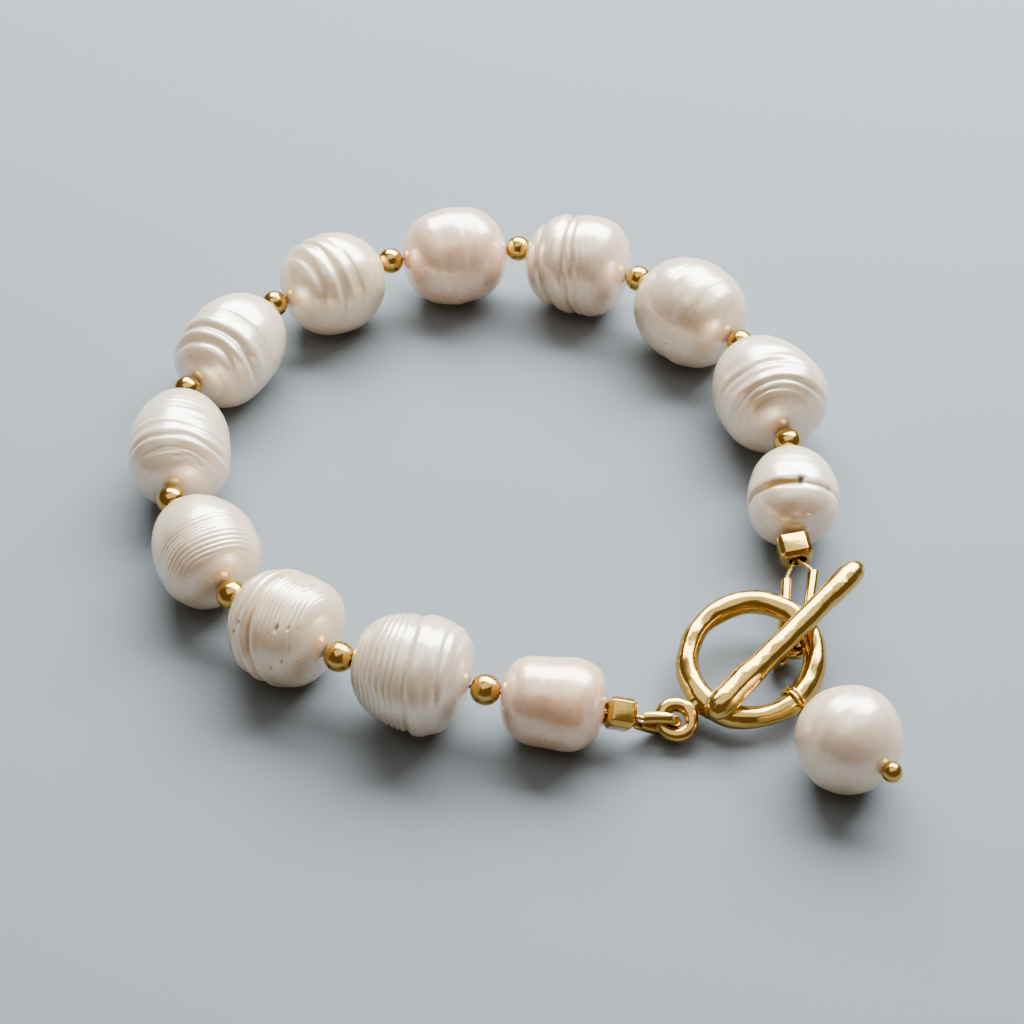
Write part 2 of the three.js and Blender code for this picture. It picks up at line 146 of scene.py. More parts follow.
class Desk:
    """A node tree with short ways to add and join nodes."""

    def __init__(self, tree: NodeTree) -> None:
        """Takes the tree that the nodes go into."""
        self.tree = tree

    def add(self, kind: str, **values: object) -> Node:
        """Adds a node.

        Args:
            kind: The node's type, without the words ShaderNode.
            **values: The node's own settings.

        Returns:
            The new node.
        """
        node = self.tree.nodes.new(f"ShaderNode{kind}")
        for name, value in values.items():
            setattr(node, name, value)
        return node

    def put(self, socket: NodeSocket, value: object) -> None:
        """Fills an input socket.

        Args:
            socket: The input socket.
            value: A socket that is linked, or a value that is set.
        """
        if isinstance(value, NodeSocket):
            self.tree.links.new(value, socket)
        else:
            socket.default_value = value

    def feed(self, node: Node, **values: object) -> Node:
        """Fills a node's inputs, named with _ for a space.

        Args:
            node: The node whose inputs are filled.
            **values: A socket or a value for each input.

        Returns:
            The same node.
        """
        for name, value in values.items():
            self.put(node.inputs[name.replace("_", " ")], value)
        return node

    def math(self, operation: str, first: object, second: object = 0.0) -> NodeSocket:
        """Adds a sum of two values.

        Args:
            operation: The Math node's operation.
            first: The first socket or number.
            second: The second socket or number.

        Returns:
            The result's socket.
        """
        node = self.add("Math", operation=operation)
        self.put(node.inputs[0], first)
        self.put(node.inputs[1], second)
        return node.outputs[0]

    def blend(self, share: object, first: object, second: object) -> NodeSocket:
        """Adds a mix of two colours.

        Args:
            share: How much of the second colour there is.
            first: The first colour.
            second: The second colour.

        Returns:
            The mixed colour's socket.
        """
        node = self.add("Mix", data_type="RGBA")
        for number, value in ((0, share), (6, first), (7, second)):
            self.put(node.inputs[number], value)
        return node.outputs[2]

    def attribute(self, name: str) -> NodeSocket:
        """Returns the value of a piece's own attribute."""
        return self.add("Attribute", attribute_name=name).outputs["Fac"]

    def own_place(self) -> NodeSocket:
        """Returns the coordinates of the piece itself."""
        return self.add("TexCoord").outputs["Object"]

    def between(self, value: object, low: float, high: float, start: float, end: float) -> NodeSocket:
        """Adds a Map Range node that holds its ends.

        Args:
            value: The value that is mapped.
            low: Where the value starts.
            high: Where the value ends.
            start: What low becomes.
            end: What high becomes.

        Returns:
            The mapped value's socket.
        """
        node = self.add("MapRange")
        for socket, given in zip(node.inputs, (value, low, high, start, end)):
            self.put(socket, given)
        return node.outputs[0]


def shader_group(name: str, inputs: dict[str, float], outputs: dict[str, str]) -> tuple[Desk, dict]:
    """Starts a shared shader node group.

    Args:
        name: The group's name.
        inputs: Its inputs, each with its usual value.
        outputs: Its outputs, each with its socket's type.

    Returns:
        The group's desk, and its input sockets by name. The desk's tree has a node named out.
    """
    tree = bpy.data.node_groups.new(name, "ShaderNodeTree")
    for label, value in inputs.items():
        socket = tree.interface.new_socket(name=label, in_out="INPUT", socket_type="NodeSocketFloat")
        socket.default_value = value
    for label, kind in outputs.items():
        tree.interface.new_socket(name=label, in_out="OUTPUT", socket_type=kind)
    given = tree.nodes.new("NodeGroupInput")
    tree.nodes.new("NodeGroupOutput").name = "out"
    return Desk(tree), {label: given.outputs[label] for label in inputs}


class SharedGroups:
    """The shader node groups that more than one material uses."""

    def __init__(self) -> None:
        """Builds each group once."""
        self.patches = self._patches()
        self.worked_skin = self._worked_skin()

    def _patches(self) -> NodeTree:
        """Builds soft patches, a mask for tints that wander over a surface.

        Returns:
            The group, with the mask from 0 to 1.
        """
        desk, given = shader_group("patches", {"Size": 0.004, "Contrast": 1.0}, {"Mask": "NodeSocketFloat"})
        scale = desk.math("DIVIDE", 1.0, given["Size"])
        noise = desk.feed(desk.add("TexNoise"), Scale=scale, Detail=2.0, Vector=desk.own_place())
        centred = desk.math("SUBTRACT", noise.outputs["Fac"], 0.5)
        spread = desk.math("MULTIPLY", centred, desk.math("MULTIPLY", given["Contrast"], 3.0))
        shifted = desk.add("Math", operation="ADD", use_clamp=True)
        desk.put(shifted.inputs[0], spread)
        desk.put(shifted.inputs[1], 0.5)
        desk.feed(desk.tree.nodes["out"], Mask=shifted.outputs[0])
        return desk.tree

    def _worked_skin(self) -> NodeTree:
        """Builds the marks of hand work: soft dents, fine scratches and a roughness that changes with them.

        Returns:
            The group, with the height in metres and the roughness.
        """
        desk, given = shader_group(
            "worked_skin",
            {
                "Dent Size": 0.001, "Dent Depth": 0.00002, "Grain": 0.000002, "Roughness": 0.2,
                "Roughness Spread": 0.1,
            },
            {"Height": "NodeSocketFloat", "Roughness": "NodeSocketFloat"},
        )
        place = desk.own_place()
        fine = desk.math("DIVIDE", 1.0, given["Dent Size"])
        dents, grain, rub = (
            desk.feed(desk.add("TexNoise"), Scale=scale, Detail=detail, Vector=place).outputs["Fac"]
            for scale, detail in ((fine, 2.0), (16000.0, 4.0), (1400.0, 5.0))
        )
        hollows = desk.math("MULTIPLY", dents, given["Dent Depth"])
        height = desk.math("ADD", hollows, desk.math("MULTIPLY", grain, given["Grain"]))
        change = desk.math("MULTIPLY", desk.math("SUBTRACT", rub, 0.5), given["Roughness Spread"])
        rough = desk.math("ADD", given["Roughness"], change)
        desk.feed(desk.tree.nodes["out"], Height=height, Roughness=rough)
        return desk.tree


def placed_group(desk: Desk, group: NodeTree, **values: float) -> Node:
    """Places a shared group in a material.

    Args:
        desk: The material's desk.
        group: The group.
        **values: The group's inputs, named with _ for a space.

    Returns:
        The group's node.
    """
    node = desk.tree.nodes.new("ShaderNodeGroup")
    node.node_tree = group
    return desk.feed(node, **values)


def work_skin(
    desk: Desk, shader: Node, groups: SharedGroups, height: NodeSocket | None = None, **values: float
) -> None:
    """Gives a shader the marks of hand work, as bump and as changing roughness.

    Args:
        desk: The material's desk.
        shader: Its Principled BSDF.
        groups: The shared shader groups.
        height: A height in metres that is added, or None.
        **values: The worked_skin group's inputs, named with _ for a space.
    """
    skin = placed_group(desk, groups.worked_skin, **values)
    marks = skin.outputs["Height"]
    total = desk.math("ADD", marks, height) if height else marks
    bump = desk.feed(desk.add("Bump"), Strength=1.0, Distance=1.0, Height=total)
    desk.feed(shader, Roughness=skin.outputs["Roughness"], Normal=bump.outputs["Normal"])


def start_material(name: str) -> tuple[Material, Desk, Node]:
    """Starts a material.

    Args:
        name: The material's name.

    Returns:
        The material, its desk and its Principled BSDF.
    """
    material = bpy.data.materials.new(name)
    material.use_nodes = True
    desk = Desk(material.node_tree)
    return material, desk, material.node_tree.nodes["Principled BSDF"]


@dataclass(frozen=True)
class NacreFinish:
    """The lustre of a pearl: its body colour, its overtone and the stain in its growth rings.

    milk colours its clouds, and the bottoms of its pits are painted near black as painted shade. Lengths are
    in metres, except that lines counts the fine growth lines in a millimetre.
    """

    tone: NacreTone
    body: Color
    overtone: Color
    stain: Color
    milk: Color = (0.93, 0.86, 0.76, 1)
    # Painted shade: the near-black colour put in the bottoms of pits.
    pit_shade_color: Color = (0.07, 0.035, 0.015, 1)
    roughness: float = 0.3
    cloud_share: float = 0.3
    lines: float = 2.6
    line_share: float = 0.13
    line_height: float = 0.000022
    sheen: float = 0.24

    def build(self, groups: SharedGroups) -> Material:
        """Makes the material.

        Args:
            groups: The shared shader groups.

        Returns:
            The material of the pearls of this tone.
        """
        material, desk, shader = start_material(f"nacre_{self.tone.value}")
        overtones = placed_group(desk, groups.patches, Size=0.007, Contrast=1.2)
        clouds = placed_group(desk, groups.patches, Size=0.0008, Contrast=1.1)
        body = desk.blend(overtones.outputs["Mask"], self.body, self.overtone)
        milky = desk.blend(desk.math("MULTIPLY", clouds.outputs["Mask"], self.cloud_share), body, self.milk)
        ring = desk.add("TexNoise", noise_dimensions="1D")
        line = desk.feed(ring, Scale=self.lines, Detail=3.0, W=desk.attribute("ring")).outputs["Fac"]
        lined = desk.blend(desk.between(line, 0.35, 0.7, 0.0, self.line_share), milky, self.stain)
        stained = desk.blend(desk.attribute("stain"), lined, self.stain)
        # The bottoms of the pits are painted near black as painted shade, and lose their gloss with it.
        pit = desk.attribute("pit")
        pit_shaded = desk.blend(pit, stained, self.pit_shade_color)
        gloss = desk.math("SUBTRACT", 1.0, pit)
        ridges = desk.math("MULTIPLY", line, self.line_height)
        work_skin(
            desk, shader, groups, ridges, Dent_Size=0.0016, Dent_Depth=0.00005, Grain=0.0000012,
            Roughness=self.roughness, Roughness_Spread=0.16,
        )
        desk.feed(
            shader, Base_Color=pit_shaded, Metallic=desk.math("MULTIPLY", gloss, self.sheen),
            IOR=desk.between(pit, 0.0, 1.0, 1.7, 1.02), Coat_Weight=gloss, Coat_IOR=1.95, Coat_Roughness=0.22,
            Subsurface_Weight=0.2, Subsurface_Scale=0.0012, Subsurface_Radius=(1.0, 0.7, 0.5),
        )
        return material


@dataclass(frozen=True)
class MetalFinish:
    """Gold plate as it is left by casting, hammering or drawing."""

    name: str
    color: Color = (0.65, 0.42, 0.1, 1)
    deep: Color = (0.45, 0.25, 0.045, 1)
    roughness: float = 0.2
    spread: float = 0.12
    dent_size: float = 0.0012
    dent_depth: float = 0.00003
    deep_share: float = 0.45

    def build(self, groups: SharedGroups) -> Material:
        """Makes the material.

        Args:
            groups: The shared shader groups.

        Returns:
            The material.
        """
        material, desk, shader = start_material(self.name)
        patches = placed_group(desk, groups.patches, Size=0.0024, Contrast=1.0)
        share = desk.math("MULTIPLY", patches.outputs["Mask"], self.deep_share)
        color = desk.blend(share, self.color, self.deep)
        work_skin(
            desk, shader, groups, Dent_Size=self.dent_size, Dent_Depth=self.dent_depth, Grain=0.000001,
            Roughness=self.roughness, Roughness_Spread=self.spread,
        )
        desk.feed(shader, Base_Color=color, Metallic=1.0)
        return material


def mesh_points(mesh: Mesh) -> np.ndarray:
    """Returns a mesh's vertices, one in each row."""
    flat = np.empty(len(mesh.vertices) * 3)
    mesh.vertices.foreach_get("co", flat)
    return flat.reshape(-1, 3)


def mesh_normals(mesh: Mesh) -> np.ndarray:
    """Returns a mesh's vertex normals, one in each row."""
    flat = np.empty(len(mesh.vertices) * 3)
    mesh.vertex_normals.foreach_get("vector", flat)
    return flat.reshape(-1, 3)


def set_points(mesh: Mesh, points: np.ndarray) -> None:
    """Moves a mesh's vertices to points, one in each row."""
    mesh.vertices.foreach_set("co", points.ravel())
    mesh.update()


def set_attribute(mesh: Mesh, name: str, values: np.ndarray) -> None:
    """Stores one number for each vertex of a mesh, as a named attribute."""
    attribute = mesh.attributes.new(name, "FLOAT", "POINT")
    attribute.data.foreach_set("value", values.astype(np.float32))


def to_mesh(shape: BMesh, name: str) -> Mesh:
    """Turns a bmesh into a mesh with smooth faces and frees it.

    Args:
        shape: The bmesh.
        name: The mesh's name.

    Returns:
        The mesh.
    """
    mesh = bpy.data.meshes.new(name)
    shape.to_mesh(mesh)
    shape.free()
    mesh.shade_smooth()
    return mesh


def unit_ball(name: str, around: int, rows: int) -> Mesh:
    """Models a ball of radius 1 with its poles on the x axis.

    Args:
        name: The mesh's name.
        around: How many segments it has round the axis.
        rows: How many rows it has from pole to pole.

    Returns:
        The mesh.
    """
    ball = bmesh.new()
    bmesh.ops.create_uvsphere(ball, u_segments=around, v_segments=rows, radius=1.0)
    bmesh.ops.rotate(ball, verts=ball.verts, cent=(0, 0, 0), matrix=Matrix.Rotation(math.pi / 2, 3, "Y"))
    return to_mesh(ball, name)


def packed_copy(node: str) -> BMesh:
    """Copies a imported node's solid, in millimetres and with its vertices joined."""
    solid = bmesh.new()
    solid.from_mesh(bpy.data.objects[node].data)
    bmesh.ops.scale(solid, vec=(1 / MM, 1 / MM, 1 / MM), verts=solid.verts)
    bmesh.ops.remove_doubles(solid, verts=solid.verts, dist=1e-4)
    return solid


def add_piece(name: str, mesh: Mesh, node: str, material: Material) -> None:
    """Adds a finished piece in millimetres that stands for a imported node.

    Args:
        name: The piece's name.
        mesh: Its mesh, in millimetres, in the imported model's frame.
        node: The node that it stands for.
        material: Its material.
    """
    mesh.transform(Matrix.Scale(MM, 4))
    mesh.materials.clear()
    mesh.materials.append(material)
    piece = bpy.data.objects.new(name, mesh)
    bpy.context.scene.collection.objects.link(piece)
    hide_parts(node)
    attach(piece, BODY)
    lowest = mesh_points(mesh)[:, 2].min() / MM
    LOG.info("%s: %d vertices, %.3f mm above the floor", name, len(mesh.vertices), lowest)


def node_middle(node: str) -> Vector:
    """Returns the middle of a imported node's box, in millimetres."""
    low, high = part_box(node)
    return (low + high) / (2 * MM)


def turn_to(direction: Vector) -> Matrix:
    """Returns the turn that takes the x axis to a direction and keeps y level.

    Args:
        direction: Where the x axis goes.

    Returns:
        The turn, as a matrix of four rows.
    """
    x = direction.normalized()
    y = UP.cross(x).normalized()
    z = x.cross(y)
    return Matrix((x, y, z)).transposed().to_4x4()


def drill(mesh: Mesh, bore: float, depth: float) -> None:
    """Sinks the skin of a pearl at both ends of the x axis, where its hole starts.

    Args:
        mesh: The pearl's mesh, round the x axis.
        bore: How wide the hole is.
        depth: How deep it looks.
    """
    points = mesh_points(mesh)
    inside = np.clip((bore / 2 - np.hypot(points[:, 1], points[:, 2])) / DRILL_EDGE, 0, 1)
    points[:, 0] -= np.sign(points[:, 0]) * depth * inside
    set_points(mesh, points)


def smooth_line(points: list[Vector], steps: int) -> list[Vector]:
    """Runs a smooth line through points.

    Args:
        points: The points that the line goes through.
        steps: How many steps it takes between two of them.

    Returns:
        The line's points.
    """
    line = []
    padded = [points[0] * 2 - points[1], *points, points[-1] * 2 - points[-2]]
    for a, b, c, d in zip(padded, padded[1:], padded[2:], padded[3:]):
        for step in range(steps):
            t = step / steps
            square, cube = (2 * a - 5 * b + 4 * c - d) * t**2, (3 * b - a - 3 * c + d) * t**3
            line.append(0.5 * (2 * b + (c - a) * t + square + cube))
    return [*line, points[-1]]


def round_section(
    shape: BMesh, radius: float, corners: int, lobes: int = 0, lobe: float = 0.0
) -> list[BMVert]:
    """Makes the section of a wire round the z axis.

    Args:
        shape: The bmesh that the section goes into.
        radius: The wire's radius.
        corners: How many corners the section has.
        lobes: How many strands show.
        lobe: How deep the valleys between them are, as a share of the radius.

    Returns:
        The section's vertices in order.
    """
    section = []
    for i in range(corners):
        angle = 2 * math.pi * i / corners
        out = 1 - lobe * (0.5 + 0.5 * math.cos(lobes * angle))
        section.append(shape.verts.new((out * math.cos(angle), out * math.sin(angle), 0)))
    bmesh.ops.scale(shape, vec=(radius,) * 3, verts=section)
    return section


def sweep(shape: BMesh, section: list[BMVert], line: list[Vector], twist: float = 0.0) -> None:
    """Extrudes a flat section along a line, with both ends closed.

    Args:
        shape: The bmesh that holds the section.
        section: The section's vertices in order, round the z axis at the origin.
        line: The points that the section's middle runs through.
        twist: How far the section turns for each millimetre, in radians.
    """
    face = shape.faces.new(section)
    tangent = (line[1] - line[0]).normalized()
    side = tangent.orthogonal().normalized()
    frame = Matrix((side, tangent.cross(side), tangent)).transposed().to_4x4()
    place = Matrix.Translation(line[0]) @ frame
    bmesh.ops.transform(shape, matrix=place, verts=section)
    for i, point in enumerate(line[1:], start=1):
        step = (point - line[i - 1]).length
        ahead = (line[i + 1] - line[i - 1]) if i + 1 < len(line) else point - line[i - 1]
        bend = tangent.rotation_difference(ahead).to_matrix().to_4x4()
        spin = Matrix.Rotation(twist * step, 4, ahead.normalized())
        grown = bmesh.ops.extrude_face_region(shape, geom=[face])["geom"]
        new_faces = [part for part in grown if isinstance(part, BMFace)]
        if i > 1:
            bmesh.ops.delete(shape, geom=[face], context="FACES_ONLY")
        face = new_faces[0]
        about = Matrix.Translation(point) @ spin @ bend @ Matrix.Translation(-line[i - 1])
        bmesh.ops.transform(shape, matrix=about, verts=list(face.verts))
        tangent = ahead.normalized()
    bmesh.ops.recalc_face_normals(shape, faces=shape.faces)


@dataclass(frozen=True)
class Groove:
    """A groove round a pearl. Places run from -1 to 1 along it, and depths are shares of its half width.

    It is deepest on the side that facing names, in degrees round the string, and ends at the angle spread
    from there.
    """

    at: float
    wide: float
    deep: float
    stain: float = 0.0
    wander: float = 0.015
    facing: float = 90.0
    spread: float = 250.0


@dataclass(frozen=True)
class RingBand:
    """A stretch of close rings with round ridges and narrow furrows, which ends as a groove does."""

    start: float
    end: float
    count: float
    deep: float
    stain: float = 0.0
    wander: float = 0.012
    facing: float = 90.0
    spread: float = 250.0


@dataclass(frozen=True)
class Pit:
    """A small hole in the skin, at an angle round the string in degrees. Sizes are in millimetres.
    The last number is how strongly its bottom is painted dark, as painted shade.
    """

    at: float
    turn: float
    radius: float
    deep: float
    painted_shade: float = 1.0


@dataclass(frozen=True)
class Blush:
    """A patch that is stained, at a place and an angle round the string, with its radius in millimetres."""

    at: float
    turn: float
    radius: float
    stain: float


@dataclass(frozen=True)
class Crack:
    """A furrow that runs part of the way round a pearl, in millimetres and degrees."""

    at: float
    start: float
    end: float
    wide: float
    deep: float
    stain: float = 1.0


@dataclass(frozen=True)
class PearlShape:
    """One pearl: its width across the string in millimetres, its outline, and the marks that it grew with.

    blunt squares its ends and egg makes one end wider. lean turns it on the string, about an axis that roll
    picks. tilt turns its growth rings alone, sideways and up, in degrees. bulge is how far its middle lies
    beside the string, in x and y.
    """

    name: str
    width: float
    blunt: float
    egg: float
    lean: float
    roll: float
    tone: NacreTone
    tilt: Pair = (0.0, 0.0)
    bulge: Pair = (0.0, 0.0)
    grooves: tuple[Groove, ...] = ()
    bands: tuple[RingBand, ...] = ()
    pits: tuple[Pit, ...] = ()
    cracks: tuple[Crack, ...] = ()
    blushes: tuple[Blush, ...] = ()
    lumps: float = 0.012


PEARLS = (
    PearlShape(
        "pearl_01", 8.25, 2.9, -0.05, 6, -90, NacreTone.ROSE, bulge=(0.0, -0.3),
        grooves=(Groove(0.12, 0.35, 0.04), Groove(-0.72, 0.1, 0.012)),
        bands=(RingBand(-0.75, 0.85, 7, 0.005, 0.12),),
        blushes=(Blush(0.3, 50, 1.6, 0.22), Blush(-0.05, 25, 1.5, 0.2), Blush(0.6, 20, 1.2, 0.15)),
        lumps=0.02,
    ),
    PearlShape(
        "pearl_02", 10.3, 2.6, -0.11, 4, 90, NacreTone.WHITE, tilt=(2, -10), bulge=(0.15, -0.35),
        grooves=(
            Groove(-0.06, 0.06, 0.045, 0.3), Groove(-0.27, 0.15, -0.03), Groove(-0.46, 0.07, 0.01, 0.1),
            Groove(-0.64, 0.06, 0.032, 0.3, spread=90), Groove(-0.82, 0.07, 0.03, 0.15),
        ),
        bands=(RingBand(-0.04, 0.97, 10, 0.036, 0.85), RingBand(-0.7, -0.1, 4, 0.006, 0.1)),
        blushes=(Blush(-0.35, 45, 1.3, 0.12),),
        lumps=0.008,
    ),
    PearlShape(
        "pearl_03", 10.2, 2.6, 0.0, 8, 0, NacreTone.CREAM, tilt=(-6, -18), bulge=(0.48, -0.45),
        grooves=(
            Groove(0.06, 0.075, 0.105, 0.7), Groove(-0.08, 0.08, -0.025), Groove(0.2, 0.06, -0.025),
            Groove(0.35, 0.08, 0.03, 0.3), Groove(0.6, 0.08, 0.03, 0.2),
        ),
        bands=(
            RingBand(-0.85, 0.02, 11, 0.026, 0.9, facing=95, spread=75), RingBand(0.1, 0.85, 5, 0.014, 0.5),
        ),
        pits=(
            Pit(-0.23, 52, 0.17, 0.3), Pit(-0.12, 46, 0.09, 0.2), Pit(-0.44, 56, 0.1, 0.2),
            Pit(-0.21, 111, 0.14, 0.3), Pit(-0.29, 104, 0.09, 0.2), Pit(0.55, 42, 0.12, 0.2),
            Pit(-0.6, 60, 0.09, 0.12), Pit(-0.5, 20, 0.1, 0.15), Pit(0.1, 10, 0.1, 0.2),
            Pit(0.62, 28, 0.09, 0.15), Pit(-0.3, 8, 0.1, 0.15),
        ),
        blushes=(Blush(-0.05, 68, 1.5, 0.32), Blush(0.5, 45, 0.9, 0.3), Blush(-0.1, 12, 1.0, 0.25)),
        lumps=0.016,
    ),
    PearlShape(
        "pearl_04", 9.9, 2.2, 0.03, 12, 200, NacreTone.IVORY, tilt=(11, 4), bulge=(0.8, -0.93),
        grooves=(Groove(-0.05, 0.16, 0.02), Groove(-0.45, 0.16, 0.02)),
        bands=(RingBand(-0.84, 0.2, 12, 0.034, 0.5, facing=88, spread=76),),
        blushes=(Blush(-0.1, 55, 1.6, 0.2), Blush(-0.6, 70, 1.3, 0.15)),
    ),
    PearlShape(
        "pearl_05", 10.1, 2.3, -0.08, 5, 0, NacreTone.WHITE, tilt=(-5, 0), bulge=(0.0, -0.45),
        grooves=(
            Groove(0.2, 0.09, 0.012), Groove(-0.05, 0.09, 0.012), Groove(-0.26, 0.07, 0.025),
            Groove(-0.45, 0.05, 0.05, 0.3, facing=98, spread=92),
            Groove(-0.54, 0.06, -0.03, facing=98, spread=92),
            Groove(-0.68, 0.04, 0.025, 0.4, 0.03, 100, 65), Groove(-0.79, 0.04, 0.02, 0.4, 0.03, 105, 55),
        ),
        bands=(RingBand(-0.35, 0.9, 11, 0.01, 0.06), RingBand(-0.87, -0.6, 4, 0.016, 0.3, 0.03, 100, 65)),
        blushes=(Blush(-0.72, 95, 1.5, 0.25),),
    ),
    PearlShape(
        "pearl_06", 10.3, 2.3, 0.0, 8, 90, NacreTone.WHITE, tilt=(5, -14), bulge=(-0.3, -0.8),
        grooves=(
            Groove(-0.12, 0.1, 0.02, facing=100, spread=90),
            Groove(-0.28, 0.08, -0.025, facing=105, spread=85),
            Groove(-0.42, 0.065, 0.065, 0.3, facing=105, spread=88),
            Groove(-0.55, 0.06, -0.025, facing=105, spread=85),
            Groove(-0.68, 0.065, 0.065, 0.3, facing=105, spread=85), Groove(-0.88, 0.07, 0.04, 0.25),
        ),
        bands=(RingBand(-0.75, 0.3, 9, 0.008, 0.1),),
        blushes=(Blush(-0.8, 110, 1.6, 0.25), Blush(-0.5, 150, 1.6, 0.16)),
    ),
    PearlShape(
        "pearl_07", 10.9, 2.2, 0.0, 6, 180, NacreTone.CREAM, tilt=(13, -8), bulge=(-0.3, -0.35),
        grooves=(
            Groove(0.02, 0.09, 0.03, 0.1, facing=110, spread=85),
            Groove(-0.28, 0.09, 0.05, 0.3, facing=115, spread=88),
            Groove(-0.62, 0.08, 0.045, 0.25, facing=115, spread=85),
        ),
        bands=(RingBand(-0.7, 0.2, 6, 0.01, 0.2),),
        blushes=(Blush(-0.45, 145, 1.7, 0.3),),
    ),
    PearlShape(
        "pearl_08", 10.8, 2.3, 0.0, 3, 0, NacreTone.ROSE,
        grooves=(Groove(-0.3, 0.16, 0.022), Groove(0.2, 0.16, 0.02)),
        bands=(RingBand(-0.6, 0.6, 5, 0.005, 0.08),),
        blushes=(Blush(0.0, 150, 2.2, 0.2),),
    ),
    PearlShape(
        "pearl_09", 11.1, 2.4, 0.05, 6, 90, NacreTone.IVORY, tilt=(8, 6), bulge=(0.2, 0.0),
        grooves=(
            Groove(-0.55, 0.08, 0.06, 0.5), Groove(0.08, 0.07, 0.03, 0.3), Groove(-0.1, 0.08, 0.065, 0.6),
        ),
        bands=(RingBand(-0.2, 0.6, 6, 0.01, 0.12),),
        blushes=(Blush(0.4, 145, 1.3, 0.2), Blush(-0.3, 170, 1.8, 0.2)),
    ),
    PearlShape(
        "pearl_10", 11.4, 2.2, -0.03, 4, 270, NacreTone.IVORY, bulge=(0.63, -0.53),
        grooves=(Groove(0.05, 0.16, 0.026), Groove(0.42, 0.16, 0.03)),
        bands=(RingBand(-0.5, 0.6, 5, 0.006, 0.1),),
        blushes=(Blush(0.42, 133, 1.7, 0.5), Blush(0.1, 160, 2.0, 0.2)),
    ),
    PearlShape(
        "pearl_11", 11.1, 2.3, 0.02, 8, 45, NacreTone.WHITE, tilt=(-14, -2), bulge=(0.65, -0.95),
        grooves=(
            Groove(-0.1, 0.08, 0.02, facing=130, spread=80),
            Groove(0.13, 0.06, 0.045, 0.2, facing=135, spread=72),
            Groove(0.33, 0.08, 0.02, facing=140, spread=80),
            Groove(0.48, 0.07, -0.015, facing=105, spread=90),
            Groove(0.58, 0.05, 0.055, 0.3, facing=105, spread=92),
            Groove(0.72, 0.045, 0.03, 0.4, 0.02, 110, 80), Groove(0.83, 0.045, 0.025, 0.4, 0.02, 110, 70),
        ),
        bands=(RingBand(-0.5, 0.5, 6, 0.003, 0.06), RingBand(0.62, 0.9, 4, 0.014, 0.4, 0.02, 105, 80)),
        blushes=(Blush(0.72, 130, 1.6, 0.35), Blush(0.7, 70, 1.4, 0.25), Blush(0.6, 30, 1.8, 0.2)),
    ),
    PearlShape(
        "pearl_12", 8.9, 2.2, 0.05, 6, 120, NacreTone.WHITE, tilt=(1, -11), bulge=(0.15, -0.4),
        grooves=(Groove(0.18, 0.08, 0.035), Groove(-0.4, 0.1, 0.01)),
        pits=(Pit(0.29, 87, 0.3, 0.3, 1.7), Pit(0.27, 46, 0.2, 0.1, 0.5)),
        cracks=(Crack(0.18, 84, 190, 0.26, 0.3, 2.2), Crack(0.18, 40, 92, 0.07, 0.14, 0.8)),
        blushes=(Blush(0.7, 96, 1.3, 0.45),),
    ),
)


